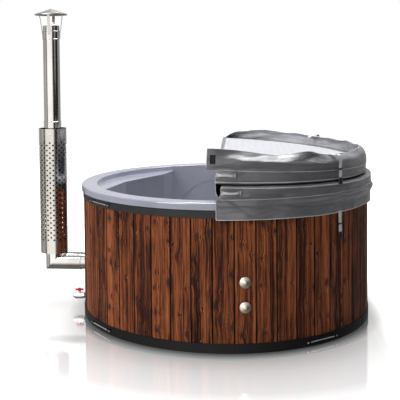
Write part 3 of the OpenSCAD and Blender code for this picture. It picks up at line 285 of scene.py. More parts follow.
class Nodes:
    """Small helper for building a node tree."""

    def __init__(self, owner):
        owner.use_nodes = True
        self.tree = owner.node_tree
        self.tree.nodes.clear()

    def add(self, kind, **props):
        n = self.tree.nodes.new(kind)
        for k, v in props.items():
            setattr(n, k, v)
        return n

    def link(self, a, b):
        self.tree.links.new(a, b)

    def fill(self, node, **values):
        """Sets inputs by name, with _ for a space."""
        for k, v in values.items():
            node.inputs[k.replace("_", " ")].default_value = v

    def math(self, op, a, b=None, clamp=False):
        n = self.add("ShaderNodeMath", operation=op, use_clamp=clamp)
        for i, v in enumerate((a, b)):
            if isinstance(v, (int, float)):
                n.inputs[i].default_value = v
            elif v is not None:
                self.link(v, n.inputs[i])
        return n.outputs[0]

    def mul(self, a, b, clamp=False):
        return self.math("MULTIPLY", a, b, clamp)

    def plus(self, a, b):
        return self.math("ADD", a, b)

    def minus(self, a, b):
        return self.math("SUBTRACT", a, b)

    def xyz(self, vector):
        n = self.add("ShaderNodeSeparateXYZ")
        self.link(vector, n.inputs[0])
        return n.outputs

    def noise(self, vector, scale, detail=4.0, rough=0.55, distortion=0.0):
        n = self.add("ShaderNodeTexNoise")
        self.link(vector, n.inputs["Vector"])
        self.fill(n, Scale=scale, Detail=detail, Roughness=rough, Distortion=distortion)
        return n.outputs["Fac"]

    def ramp(self, fac, stops):
        n = self.add("ShaderNodeValToRGB")
        r = n.color_ramp
        while len(r.elements) < len(stops):
            r.elements.new(0.5)
        for e, (p, c) in zip(r.elements, stops):
            e.position = p
            e.color = (*c, 1)
        self.link(fac, n.inputs["Fac"])
        return n.outputs["Color"]

    def mix(self, fac, a, b):
        n = self.add("ShaderNodeMix", data_type="RGBA")
        if isinstance(fac, (int, float)):
            n.inputs[0].default_value = fac
        else:
            self.link(fac, n.inputs[0])
        for i, v in ((6, a), (7, b)):
            if isinstance(v, tuple):
                n.inputs[i].default_value = (*v, 1)
            else:
                self.link(v, n.inputs[i])
        return n.outputs[2]

    def range(self, value, a, b, c, d):
        n = self.add("ShaderNodeMapRange")
        self.link(value, n.inputs["Value"])
        self.fill(n, From_Min=a, From_Max=b, To_Min=c, To_Max=d)
        return n.outputs["Result"]

    def blend(self, fac, a, b):
        n = self.add("ShaderNodeMixShader")
        for i, v in enumerate((fac, a, b)):
            self.link(v, n.inputs[i])
        return n.outputs[0]


class Shade(Nodes):
    """A material with a Principled shader, mapped by the object's own coordinates."""

    def __init__(self, name):
        self.material = bpy.data.materials.new(name)
        super().__init__(self.material)
        self.out = self.add("ShaderNodeOutputMaterial")
        self.bsdf = self.add("ShaderNodeBsdfPrincipled")
        self.link(self.bsdf.outputs[0], self.out.inputs["Surface"])
        self.coord = self.add("ShaderNodeTexCoord").outputs["Object"]

    def set(self, **values):
        self.fill(self.bsdf, **values)

    def scaled(self, x, y, z):
        n = self.add("ShaderNodeMapping")
        self.fill(n, Scale=(x, y, z))
        self.link(self.coord, n.inputs["Vector"])
        return n.outputs[0]

    def bump(self, height, strength, distance, under=None):
        n = self.add("ShaderNodeBump")
        self.fill(n, Strength=strength, Distance=distance)
        self.link(height, n.inputs["Height"])
        if under is not None:
            self.link(under, n.inputs["Normal"])
        self.link(n.outputs["Normal"], self.bsdf.inputs["Normal"])
        return n.outputs["Normal"]

    def to(self, value, socket):
        self.link(value, self.bsdf.inputs[socket])


def lin(r, g, b):
    """Linear colour from 0 to 255 display values."""
    shares = (r / 255, g / 255, b / 255)
    return tuple(c / 12.92 if c <= 0.04045 else ((c + 0.055) / 1.055) ** 2.4 for c in shares)


def wood_boards():
    """Stained spruce: one tone a board, fine upright grain, orange streaks and small dark knots."""
    s = Shade("stained_boards")
    x, y, z = s.xyz(s.coord)
    az = s.mul(s.math("ARCTAN2", x, s.mul(y, -1.0)), 180 / math.pi)
    place = s.math("DIVIDE", s.minus(az, FIRST_SEAM), BOARD_STEP)
    board = s.math("FLOOR", place)
    across = s.mul(s.minus(s.minus(place, board), 0.5), BOARD_W)
    rnd = s.add("ShaderNodeTexWhiteNoise", noise_dimensions="1D")
    s.link(board, rnd.inputs["W"])
    rsep = s.add("ShaderNodeSeparateColor")
    s.link(rnd.outputs["Color"], rsep.inputs[0])
    r1, r2, r3 = rsep.outputs
    shift = s.mul(r1, 37.0)
    depth = s.plus(s.mul(board, 3.7), shift)

    def vec(a, b):
        n = s.add("ShaderNodeCombineXYZ")
        for i, v in enumerate((a, b, depth)):
            s.link(v, n.inputs[i])
        return n.outputs[0]

    def stretched(x, wide, tall):
        return vec(s.mul(x, wide), s.mul(z, tall))

    # Knots: cells that are sparse along the board, some of them empty
    kv = vec(s.mul(across, 11.0), s.mul(s.plus(z, shift), 7.0))
    vor = s.add("ShaderNodeTexVoronoi", voronoi_dimensions="2D", feature="F1")
    s.link(kv, vor.inputs["Vector"])
    s.fill(vor, Scale=1.0, Randomness=0.9)
    vcol = s.add("ShaderNodeSeparateColor")
    s.link(vor.outputs["Color"], vcol.inputs[0])
    has = s.math("GREATER_THAN", vcol.outputs[0], 0.35)
    size = s.range(vcol.outputs[1], 0, 1, 0.04, 0.13)
    ragged = s.noise(stretched(across, 90.0, 70.0), 1.0, 3.0)
    near = s.plus(s.math("DIVIDE", vor.outputs["Distance"], size), s.mul(s.minus(ragged, 0.5), 2.4))
    knot = s.mul(s.range(near, 0.7, 1.15, 1, 0), has, True)
    halo = s.mul(s.range(near, 1.0, 2.6, 1, 0), has, True)
    bend = s.mul(s.range(near, 0.6, 4.5, 0.012, 0), has)

    wander = s.noise(stretched(across, 3.0, 1.3), 1.0, 2.0)
    grain_x = s.plus(s.plus(across, s.mul(wander, 0.02)), bend)
    # Growth rings cut lengthwise
    rings_v = stretched(grain_x, 1.0, 0.035)
    wave = s.add("ShaderNodeTexWave", wave_type="BANDS", bands_direction="X", wave_profile="SIN")
    s.link(rings_v, wave.inputs["Vector"])
    s.fill(wave, Scale=70.0, Distortion=6.0, Detail=2.0, Detail_Scale=1.4)
    rings = wave.outputs["Fac"]
    fine = s.noise(stretched(grain_x, 420.0, 9.0), 1.0, 5.0, 0.65)
    broad = s.noise(stretched(grain_x, 140.0, 1.5), 1.0, 5.0, 0.68)
    patch = s.noise(stretched(across, 10.0, 3.0), 1.0, 3.0, 0.5)
    streak = s.noise(stretched(grain_x, 34.0, 0.8), 1.0, 2.0, 0.5)
    tone = s.plus(s.mul(rings, 0.30), s.mul(fine, 0.34))
    tone = s.plus(tone, s.mul(s.minus(streak, 0.53), 0.5))
    tone = s.plus(tone, s.mul(broad, 0.52))
    tone = s.plus(tone, s.mul(s.minus(r2, 0.5), 0.08))
    tone = s.plus(tone, s.mul(s.minus(patch, 0.5), 0.18))
    # Painted highlight: lighter lines beside some seams, where light catches the boards' edges
    edge = s.range(s.math("ABSOLUTE", across), 0.048, 0.058, 0, 1)
    edge = s.mul(edge, s.range(patch, 0.42, 0.6, 0, 1))
    tone = s.plus(tone, s.mul(edge, 0.055))
    color = s.ramp(tone, [(0.455, lin(9, 5, 4)), (0.53, lin(27, 13, 9)), (0.588, lin(54, 27, 17)),
                          (0.645, lin(97, 49, 28)), (0.71, lin(182, 103, 59))])
    tint = s.mix(s.mul(r3, 0.25), color, lin(70, 32, 18))
    color = s.mix(s.mul(halo, 0.5), tint, lin(40, 19, 12))
    color = s.mix(knot, color, lin(44, 34, 40))
    seam = s.range(s.math("ABSOLUTE", across), 0.0590, 0.0622, 0, 1)
    color = s.mix(seam, color, lin(12, 6, 4))
    s.to(color, "Base Color")
    s.to(s.range(fine, 0.25, 0.75, 0.6, 0.78), "Roughness")
    s.set(Specular_IOR_Level=0.12)
    height = s.minus(s.plus(s.mul(fine, 0.5), s.mul(rings, 0.4)), knot)
    s.bump(height, 0.5, 0.0012)
    return s.material


def raw_timber(name, light, dark):
    s = Shade(name)
    grain = s.noise(s.scaled(60, 60, 3), 1.0, 5.0, 0.6, 0.6)
    s.to(s.ramp(grain, [(0.3, dark), (0.7, light)]), "Base Color")
    s.set(Roughness=0.75)
    s.bump(grain, 0.3, 0.001)
    return s.material


def glass_fibre():
    """Glossy grey moulded shell with a faint flow in its gel coat."""
    s = Shade("grey_gel_coat")
    cloud = s.noise(s.coord, 2.2, 3.0)
    s.to(s.ramp(cloud, [(0.3, lin(130, 132, 145)), (0.7, lin(142, 144, 156))]), "Base Color")
    s.set(Roughness=0.22, Specular_IOR_Level=0.45, Coat_Weight=0.4, Coat_Roughness=0.05)
    wave = s.noise(s.coord, 7.0, 2.0)
    fine = s.noise(s.coord, 260.0, 2.0)
    n = s.bump(wave, 0.10, 0.004)
    s.bump(fine, 0.05, 0.0004, n)
    return s.material


def painted(name, colour, rough=0.45, speck=0.25):
    s = Shade(name)
    fine = s.noise(s.coord, 700.0, 3.0)
    cloud = s.noise(s.coord, 9.0, 4.0)
    dark = tuple(c * (1 - speck) for c in colour)
    s.to(s.ramp(cloud, [(0.3, dark), (0.75, colour)]), "Base Color")
    s.to(s.range(cloud, 0.3, 0.7, rough - 0.06, rough + 0.08), "Roughness")
    s.set(Specular_IOR_Level=0.3)
    s.bump(fine, 0.18, 0.0005)
    return s.material


def steel(name, colour, rough=0.22, brushed=(4, 4, 500), depth=0.00012, shadow=None):
    """Metal with fine brush lines and a little staining. shadow gives where shade is painted, dull and
    nearly black.
    """
    s = Shade(name)
    lines = s.noise(s.scaled(*brushed), 1.0, 3.0, 0.6)
    stain = s.noise(s.scaled(6, 6, 2.5), 1.0, 4.0, 0.6)
    dull = tuple(c * 0.82 for c in colour)
    tone = s.ramp(stain, [(0.35, dull), (0.62, colour)])
    if shadow:
        # Painted shade: where shadow is set, the colour turns nearly black
        tone = s.mix(shadow(s), tone, (0.018, 0.017, 0.016))
    s.to(tone, "Base Color")
    s.set(Metallic=1.0)
    grain = s.plus(s.mul(lines, 0.5), s.mul(stain, 0.5))
    s.to(s.range(grain, 0.3, 0.7, rough - 0.04, rough + 0.06), "Roughness")
    s.bump(lines, 0.12, depth)
    return s.material


def shade_behind_shield(s):
    """The lower pipe's length inside the shield, out of the light, with painted shade that darkens it."""
    z = s.xyz(s.coord)[2]
    return s.mul(s.math("GREATER_THAN", z, 0.38), s.math("LESS_THAN", z, 1.28))


def shade_inside_shield(s):
    """The shield's inner face, told by its distance from the flue's axis, where shade is painted dark."""
    x, y, _ = s.xyz(s.coord)
    dx, dy = s.minus(x, FLUE_X), s.minus(y, FLUE_Y)
    radius = s.math("SQRT", s.plus(s.mul(dx, dx), s.mul(dy, dy)))
    return s.math("LESS_THAN", radius, SHIELD_IN)


def vinyl(name, colour, rough=0.34):
    """Coated cover cloth: fine pebble, faint creases and a soft shine."""
    s = Shade(name)
    vor = s.add("ShaderNodeTexVoronoi", feature="DISTANCE_TO_EDGE")
    s.link(s.coord, vor.inputs["Vector"])
    s.fill(vor, Scale=620.0)
    pebble = s.range(vor.outputs["Distance"], 0.0, 0.25, 0.0, 1.0)
    cloud = s.noise(s.coord, 5.0, 4.0, 0.6)
    crease = s.noise(s.scaled(3, 3, 15), 1.0, 1.0, 0.35, 0.5)
    # Sharper creases where a second wave crosses its own middle value
    fold = s.noise(s.scaled(3, 3, 11), 1.0, 1.5, 0.5, 1.2)
    fold = s.range(s.math("ABSOLUTE", s.minus(fold, 0.5)), 0.0, 0.05, 1.0, 0.0)
    crease = s.plus(crease, s.mul(fold, 0.035))
    dark = tuple(c * 0.8 for c in colour)
    light = tuple(min(1.0, c * 1.15) for c in colour)
    s.to(s.ramp(cloud, [(0.32, dark), (0.7, light)]), "Base Color")
    s.to(s.range(cloud, 0.3, 0.7, rough - 0.05, rough + 0.08), "Roughness")
    s.set(Specular_IOR_Level=0.65, Coat_Weight=0.35, Coat_Roughness=0.24)
    n = s.bump(crease, 1.0, 0.055)
    s.bump(pebble, 0.2, 0.0004, n)
    return s.material


def cloth(name, light, dark, scale=900.0, rough=0.85):
    """Plain woven cloth or webbing."""
    s = Shade(name)
    wx = s.add("ShaderNodeTexWave", wave_type="BANDS", bands_direction="X")
    wz = s.add("ShaderNodeTexWave", wave_type="BANDS", bands_direction="Z")
    for w in (wx, wz):
        s.link(s.coord, w.inputs["Vector"])
        s.fill(w, Scale=scale / 6.3, Distortion=0.4)
    weave = s.mul(wx.outputs["Fac"], wz.outputs["Fac"])
    cloud = s.noise(s.coord, 30.0, 3.0)
    both = s.plus(s.mul(weave, 0.5), s.mul(cloud, 0.5))
    s.to(s.ramp(both, [(0.2, dark), (0.6, light)]), "Base Color")
    s.set(Roughness=rough, Sheen_Weight=0.15, Sheen_Roughness=0.5)
    s.bump(weave, 0.35, 0.0005)
    return s.material


def plain(name, colour, rough=0.4, metallic=0.0, spot=0.12, scale=40.0):
    """Moulded plastic, rubber, foam or turned metal with slight unevenness."""
    s = Shade(name)
    cloud = s.noise(s.coord, scale, 3.0)
    dark = tuple(c * (1 - spot) for c in colour)
    s.to(s.ramp(cloud, [(0.3, dark), (0.7, colour)]), "Base Color")
    s.set(Metallic=metallic)
    s.to(s.range(cloud, 0.3, 0.7, rough - 0.04, rough + 0.06), "Roughness")
    s.bump(cloud, 0.12, 0.0004)
    return s.material


WOOD = wood_boards()
TIMBER = raw_timber("frame_timber", lin(186, 150, 104), lin(140, 104, 66))
SHELL = glass_fibre()
HOOP = painted("hoop_paint", lin(41, 41, 44), 0.5)
# Painted shade: the bottom hoop has the top hoop's paint made far darker
HOOP_PAINTED_SHADE = painted("low_hoop_painted_shade", lin(8, 8, 9), 0.6)
ZINC = steel("bright_zinc", (0.88, 0.88, 0.89), 0.34, (300, 300, 300), 0.0001)
FITTING = steel("wall_fitting_steel", (0.86, 0.83, 0.79), 0.42, (90, 90, 90), 0.0001)
STEEL = steel("brushed_steel", (0.72, 0.72, 0.72), 0.2)
FLUE = steel("flue_steel", (0.80, 0.78, 0.76), 0.12, (3, 3, 300), 0.0001)
# Painted shade: the hat and its legs have the flue's steel made darker and duller
HAT_PAINTED_SHADE = steel("hat_steel_painted_shade", (0.58, 0.56, 0.54), 0.3, (3, 3, 300), 0.0001)
FLUE_LOW = steel("shaded_flue_steel", (0.80, 0.78, 0.76), 0.12, (3, 3, 300), 0.0001, shade_behind_shield)
# Painted shade on the shield's inner face
SHIELD = steel("shield_steel", (0.70, 0.67, 0.63), 0.16, (3, 3, 300), 0.0001, shade_inside_shield)
WATER_STEEL = steel("welded_steel", (0.55, 0.56, 0.58), 0.38, (80, 80, 80))
BRASS = steel("turned_brass", (0.86, 0.68, 0.44), 0.4, (200, 200, 200))
IRON = painted("black_iron", lin(48, 48, 50), 0.6, 0.4)
DOOR = painted("stove_paint", lin(44, 45, 49), 0.5)
PVC = plain("grey_pipe", lin(92, 95, 99), 0.45)
RUBBER = plain("black_rubber", lin(26, 26, 27), 0.7)
FOAM = plain("rigid_foam", lin(214, 204, 156), 0.85, 0.0, 0.1, 220.0)
WHITE_FOAM = plain("white_foam", lin(240, 240, 236), 0.8, 0.0, 0.06, 260.0)
RED = plain("red_lever", lin(206, 10, 26), 0.3)
ROPE = cloth("seal_rope", lin(150, 146, 136), lin(96, 93, 86), 500.0)
VINYL = vinyl("grey_vinyl", lin(89, 89, 93))
# Painted highlight: the piping, hems, grips and the strip's binding get a much lighter vinyl, standing in
# for the light lines along their crests
VINYL_PAINTED_HIGHLIGHT = vinyl("piping_vinyl_painted_highlight", lin(166, 167, 171), 0.36)
# Painted light: the skirt's reverse side gets a much lighter vinyl, standing in for light on its inner face
VINYL_PAINTED_LIGHT = vinyl("vinyl_back_painted_light", lin(196, 197, 202), 0.5)
LINING = cloth("white_lining", lin(146, 147, 152), lin(138, 139, 144), 700.0)
WEBBING = cloth("grey_webbing", lin(205, 206, 208), lin(140, 141, 144), 1300.0, 0.6)
THREAD = plain("thread", lin(150, 151, 154), 0.7)
BUCKLE = plain("black_buckle", lin(18, 18, 19), 0.3)
HOOK_TAPE = cloth("black_hook_tape", lin(30, 30, 32), lin(8, 8, 9), 1500.0, 0.95)

LOOKS = {
    "base_bearers": TIMBER, "base_board": TIMBER, "timber_frame": TIMBER, "seat_props": TIMBER,
    "floor_insulation": FOAM, "wall_insulation": FOAM, "tub_shell": SHELL, "cladding_boards": WOOD,
    "top_hoop": HOOP, "bottom_hoop": HOOP_PAINTED_SHADE, "hoop_bolts": ZINC, "drain_strainer": STEEL,
    "drain_tail": STEEL, "drain_pipe": PVC, "drain_bush": RUBBER, "valve_body": ZINC,
    "valve_ball": STEEL, "valve_handle": RED, "port_flanges": FITTING, "port_gaskets": RUBBER,
    "port_pipes": PVC, "port_inlets": STEEL, "return_plug": BRASS, "suction_plug": BRASS,
    "stove_jacket": WATER_STEEL, "firebox": WATER_STEEL, "fire_grate": IRON,
    "stove_front_plate": STEEL, "stove_door": DOOR, "door_seal": ROPE, "door_hinge_pins": ZINC,
    "door_latch": STEEL, "air_slider": STEEL, "ash_drawer": DOOR, "heater_grilles": STEEL,
    "flue_stub": FLUE, "flue_grommet": RUBBER, "flue_elbow": FLUE, "flue_lower_pipe": FLUE_LOW,
    "flue_upper_pipe": FLUE, "cap_collar": FLUE, "cap_legs": HAT_PAINTED_SHADE, "cap_hat": HAT_PAINTED_SHADE,
    "heat_shield": SHIELD, "shield_fixings": ZINC, "lower_foam_core": WHITE_FOAM,
    "upper_foam_core": WHITE_FOAM,
}
for name, look in LOOKS.items():
    data = nodes[name].data
    data.materials.clear()
    data.materials.append(look)


# Cover panels


def half_disc(d, n_arc=200, n_edge=70):
    """Outline of a half disc moved in by d, from the front end round to the back and along the fold."""
    r, x0 = COVER_R - d, 0.001 + max(d, 0.0)
    a = math.acos(x0 / r)
    t = np.linspace(-a, a, n_arc)
    arc = np.stack([r * np.cos(t), r * np.sin(t)], axis=1)
    s = np.linspace(1, -1, n_edge + 2)[1:-1]
    edge = np.stack([np.full_like(s, x0), r * math.sin(a) * s], axis=1)
    return np.concatenate([arc, edge])


def panel_height(x):
    return FOLD_T - TAPER * x / COVER_R


def panel_shell(seed):
    """Padded jacket in the closed position: rows of rings from the bottom's middle to the top's."""
    profile = [
        (0.42, 0, 0), (0.25, 0, 0), (0.10, 0, 0), (0.040, 0, 0), (0.016, 0.0, 0), (0.006, 0.012, 0),
        (0.0015, 0.035, 0), (-0.0008, 0.07, 0), (-0.0006, 0.11, 0), (0.0012, 0.145, 0), (0.0, 0.19, 0),
        (-0.0012, 0.25, 0), (-0.0026, 0.34, 0), (-0.0032, 0.44, 0), (-0.0034, 0.54, 0),
        (-0.0032, 0.64, 0), (-0.0026, 0.73, 0), (-0.0012, 0.80, 0), (0.0, 0.855, 0),
        (0.0012, 0.885, 0), (-0.0002, 0.925, 0), (0.0005, 0.962, 0), (0.0035, 0.988, 0),
        (0.010, 1, 0.30), (0.020, 1, 0.60), (0.04, 1, 0.82), (0.08, 1, 0.92), (0.15, 1, 0.97),
        (0.24, 1, 0.99), (0.33, 1, 1), (0.42, 1, 1),
    ]
    rows = []
    length = np.concatenate([[0], np.cumsum(np.linalg.norm(np.diff(half_disc(0), axis=0), axis=1))])
    middle = np.array([0.42, 0.0])
    for d, share, swell in profile:
        o = half_disc(d)
        x, y = o[:, 0], o[:, 1]
        z = PANEL_Z + panel_height(x) * share + CROWN * swell
        side = math.exp(-((share - 0.5) / 0.28) ** 2)
        w = ripple(length, share * 0.1 + 0 * length, seed, 9, 2.0, 9.0)
        w2 = ripple(length, share * 0.1 + 0 * length, seed + 5, 6, 0.6, 2.5)
        push = side * (0.0016 * w - 0.0012) if 0 < share < 1 else 0 * w
        drop = 0
        if share == 1 and swell > 0:
            edge = math.exp(-((d - 0.045) / 0.04) ** 2)
            uneven = 1 + ripple(length, d + 0 * length, seed + 9, 8, 4.0, 11.0)
            drop = -0.0011 * edge * uneven - 0.0006 * (1 + w2) * swell
        radial = o - middle
        radial /= np.maximum(np.linalg.norm(radial, axis=1, keepdims=True), 1e-9)
        fold = (x < 0.03 + max(d, 0)).astype(float)
        push = push * (1 - fold) - np.maximum(push, 0) * fold
        rows.append(np.column_stack([x + radial[:, 0] * push, y + radial[:, 1] * push, z + drop]))
    grid = np.array(rows)
    k, n = grid.shape[:2]
    ends = np.array([grid[0].mean(0), grid[-1].mean(0)])
    verts = np.concatenate([grid.reshape(-1, 3), ends])
    faces = [tuple(reversed(f)) for f in grid_faces(k, n, close_m=True)]
    faces += [(k * n, j, (j + 1) % n) for j in range(n)]
    faces += [(k * n + 1, (k - 1) * n + (j + 1) % n, (k - 1) * n + j) for j in range(n)]
    return verts, faces


def panel_line(d, share, height=0.0):
    """Line round a panel at a share of its thickness and a height."""
    o = half_disc(d, 260, 90)
    return np.column_stack([o[:, 0], o[:, 1], PANEL_Z + panel_height(o[:, 0]) * share + height])


def build_panel(half, body, place, seed):
    verts, faces = panel_shell(seed)
    jacket = outwards(make(f"{half}_cover_jacket", place(verts), faces, VINYL, body))
    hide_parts(f"{half}_jacket", f"{half}_foam_core")
    lines = [panel_line(-0.0004, 0.885), panel_line(-0.0004, 0.0, SEAM_UP)]
    cords = [tube(place(line), 0.0034, 8, True) for line in lines]
    piping = outwards(make(f"{half}_cover_piping", *joined(cords), VINYL_PAINTED_HIGHLIGHT, body))
    rows = []
    for line in (panel_line(-0.0012, 0.82), panel_line(-0.0012, 0.0, SEAM_UP + 0.007)):
        rows.append(stitches(place(line), 0.0006, 0.0065, 0.0042, True))
    thread = make(f"{half}_cover_stitching", *joined(rows), THREAD, body)


build_panel("lower", "cover", same, 3)
build_panel("upper", "upper_half", folded, 21)


def build_lining(half, body, place, seed):
    """White lining stretched over the foot of a panel."""
    r0, x0 = LINING_R, LINING_X
    n, m = 90, 46
    half_arc = math.asin(math.sqrt(1 - (x0 / r0) ** 2))
    rows = []
    for i in range(n):
        t = half_arc * (2 * i / (n - 1) - 1)
        y = r0 * math.sin(t)
        x_end = math.sqrt(max(r0 * r0 - y * y, x0 * x0 + 1e-6))
        x = np.linspace(x0, x_end, m)
        rows.append(np.column_stack([x, np.full(m, y), np.zeros(m)]))
    grid = np.array(rows)
    wave = 0.0003 * ripple(grid[..., 0], grid[..., 1], seed, 8, 1.5, 5.0)
    top = grid.copy()
    top[..., 2] = PANEL_Z - 0.0004
    low = grid.copy()
    low[..., 2] = PANEL_Z - 0.0014 + np.clip(wave, -0.0005, 0.0005)
    v, f = thick_sheet(top, low)
    obj = outwards(make(f"{half}_cover_lining", place(v), f, LINING, body))
    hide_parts(f"{half}_lining")


build_lining("lower", "cover", same, 31)
build_lining("upper", "upper_half", folded, 32)


# Skirts


def profile_curve(phi, length):
    """Out and up distances along a strip whose lean from upright is phi at each step."""
    step = length / (phi.shape[-1] - 1)
    mid = (phi[..., 1:] + phi[..., :-1]) / 2
    out = np.concatenate([np.zeros(phi.shape[:-1] + (1,)), np.cumsum(-np.sin(mid) * step, axis=-1)], axis=-1)
    up = np.concatenate([np.zeros(phi.shape[:-1] + (1,)), np.cumsum(np.cos(mid) * step, axis=-1)], axis=-1)
    return out, up


def bell(x, c, w):
    return np.exp(-(((x - c) / w) ** 2))


def upper_skirt_grid(offset, n=520, m=34, span=UPPER_SPAN, share=(0.0, 1.0)):
    """The upper skirt in its folded place: upright at the front, flopping inwards at the back."""
    az = np.linspace(*span, n)[:, None]
    s = np.linspace(0, share[1], m)[None, :]
    base = smooth_between(az, [-3.2, 6.1, 18.2, 29.3, 33.7, 41, 48.7, 60, 75, 92, 168, 171.7, 175, 178.4],
                          [3, 15, 30, 29, 24, 34, 38, 20, 6, 2, 2, 4, 40, 82])
    lean = smooth_between(az, [-3.2, 24, 48.7, 60, 75, 92, 114, 132, 146, 157, 168, 171.7, 175, 178.4],
                          [0, 0, 0, 40, 62, 72, 90, 97, 89, 78, 89, 100, 50, 6])
    curl = smooth_between(az, [-3.2, 6.1, 18.2, 29.3, 33.7, 41, 48.7, 60, 75, 92, 135, 178.4],
                          [0, 8, 30, 29, 24, 44, 50, 20, 4, 0, 0, 0])
    start = np.clip((s - 0.05) / 0.13, 0, 1) ** 2
    phi = np.radians(base + lean * s**1.6 - curl * np.cos(math.pi * s)) * start
    out, up = profile_curve(phi, SKIRT_L * share[1])
    grow = s**1.2
    arc = np.radians(az) + 0 * s
    soft = ripple(arc, s * SKIRT_L * 1.5, 41, 8, 1.0, 4.0)
    tight = ripple(arc, s * SKIRT_L, 42, 9, 4.0, 10.0)
    wave = 0.0055 * soft * grow + 0.0015 * tight * (0.3 + 0.7 * grow)
    fold1 = 0.008 * bell(az, 24, 20) * bell(s + (az - 20) * 0.006, 0.42, 0.13)
    fold2 = -0.011 * bell(az, 39, 6) * bell(s + (az - 39) * 0.02, 0.66, 0.2)
    fold3 = 0.010 * bell(az, 53, 7) * bell(s - (az - 52) * 0.014, 0.5, 0.2)
    fold4 = 0.006 * bell(az, 9, 5) * bell(s + (az - 8) * 0.04, 0.5, 0.16)
    fold5 = 0.006 * bell(az, 31, 3.2) * (s**2)
    away = (wave + fold1 + fold2 + fold3 + fold4 + fold5) * np.clip(s / 0.2, 0, 1)
    r = COVER_R + 0.0022 + out
    z = PANEL_Z + SEAM_UP - up
    r = r + (away + offset) * np.cos(phi)
    z = z - (away + offset) * np.sin(phi)
    r = np.where(s < 0.12, np.maximum(r, COVER_R + 0.0012 + offset), r)
    z = np.where(r < COVER_R - 0.004, np.minimum(z, PANEL_Z - 0.0032 - offset), z)
    first = int(round(share[0] / share[1] * (m - 1)))
    return folded(polar(az, r, z))[:, first:]


def hem_and_stitch(name, grid, body, squash=None):
    """Bound edge along a skirt's free edge with its row of stitches."""
    edge = np.concatenate([grid[0, 3:-1], grid[:, -1], grid[-1, -2:2:-1]])
    inner = grid[:, -3] * 0.6 + grid[:, -4] * 0.4
    v, f = joined([tube(resampled(edge, 0.006), 0.0028, 8)])
    hem = outwards(make(f"{name}_hem", v, f, VINYL_PAINTED_HIGHLIGHT, body))
    n = normals_of(grid)[:, -3]
    rows = [stitches(inner + n * side, 0.0006, 0.007, 0.0045) for side in (0.0016, -0.0016)]
    thread = make(f"{name}_hem_stitching", *joined(rows), THREAD, body)
    if squash:
        for o in (hem, thread):
            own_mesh(o)
    return [hem, thread]


def build_upper_skirt():
    mid = upper_skirt_grid(0.0)
    v, f = thick_sheet(upper_skirt_grid(CLOTH), upper_skirt_grid(-CLOTH))
    obj = outwards(make("upper_cover_skirt", v, f, VINYL, "upper_half"))
    # Painted light: the cloth's reverse gets a much lighter colour, standing in for light falling on the
    # skirt's inner face
    obj.data.materials.append(VINYL_PAINTED_LIGHT)
    side = (mid.shape[0] - 1) * (mid.shape[1] - 1)
    for face in obj.data.polygons[side:2 * side]:
        face.material_index = 1
    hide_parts("upper_skirt")
    # Settings for pressing the skirt flat when the half closes; here they only make the hem, its stitching
    # and the upper straps keep meshes of their own
    anchor = (0, 0, float(mid[:, 0, 2].mean()))
    flat = {"joint": "cover_fold", "axis": (0, 0, 1), "anchor": anchor, "keep": 0.05}
    pieces = hem_and_stitch("upper_skirt", mid, "upper_half", squash=flat)
    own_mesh(obj)
    return flat


upper_flat = build_upper_skirt()


def lower_skirt_grid(offset, n=520, m=26):
    """The lower skirt hangs over the rim's lip, full at its top and drawn in at the hem."""
    az = np.linspace(*LOWER_SPAN, n)[:, None]
    s = np.linspace(0, 1, m)[None, :]
    arc = np.radians(az)
    belly = 0.0125 * bell(s, 0.25, 0.15) - 0.0048 * s**1.5
    soft = ripple(arc, s * SKIRT_L * 4, 51, 8, 1.0, 4.5)
    tight = ripple(arc, s * SKIRT_L * 2, 52, 9, 5.0, 12.0)
    wave = 0.0036 * soft * s**0.7 + 0.0014 * tight * s**0.7
    bolts = bell(az, 37.5, 12) ** 2 + bell(az, 127.5, 12) ** 2
    crease = 0.006 * bell(az - 1 - s * 9, 0, 1.5) * (1 - s)
    crease = crease - 0.004 * bell(az - 3.2 - s * 10, 0, 1.5) * (1 - 0.4 * s)
    crease = crease - 0.0035 * bell(s, 0.62 + 0.1 * np.sin(arc * 3), 0.09) * bell(az, 22, 20)
    crease = crease + 0.003 * bell(az - 62 + s * 14, 0, 1.9) * (1 - 0.5 * s)
    crease = crease + 0.003 * bell(az - 24 - s * 12, 0, 1.7) * s
    r = COVER_R + 0.0026 + belly + wave + crease + 0.013 * bolts * s
    r = np.maximum(r, COVER_R + 0.0022 - 0.0056 * s + 0.0125 * s * bolts) + offset
    z = PANEL_Z + SEAM_UP - (SKIRT_L - 0.005) * s + 0.0006 * soft
    return polar(az, r, z)


def outline(x0, x1, y, z):
    """Corners of a row of stitches round a rectangle, y to each side."""
    return np.array([(x0, -y, z), (x1, -y, z), (x1, y, z), (x0, y, z)])


def build_lower_skirt():
    mid = lower_skirt_grid(0.0)
    v, f = thick_sheet(lower_skirt_grid(CLOTH), lower_skirt_grid(-CLOTH))
    obj = outwards(make("lower_cover_skirt", v, f, VINYL, "cover"))
    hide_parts("lower_skirt")
    pieces = hem_and_stitch("lower_skirt", mid, "cover")
    # Stitched square where the skirt's front end is closed
    spot = (-0.9, COVER_R + 0.0062, PANEL_Z - 0.006)
    patch = placed(rounded_plate(0.03, 0.05, 0.0012, 0.003), *spot)
    square = make("lower_skirt_patch", *patch, VINYL, "cover")
    line = outline(-0.012, 0.012, 0.022, 0.0014)
    row = placed(stitches(line, 0.0006, 0.006, 0.004, True), *spot)
    thread = make("lower_skirt_patch_stitching", *row, THREAD, "cover")


build_lower_skirt()


# Handles, straps and the strip at the fold


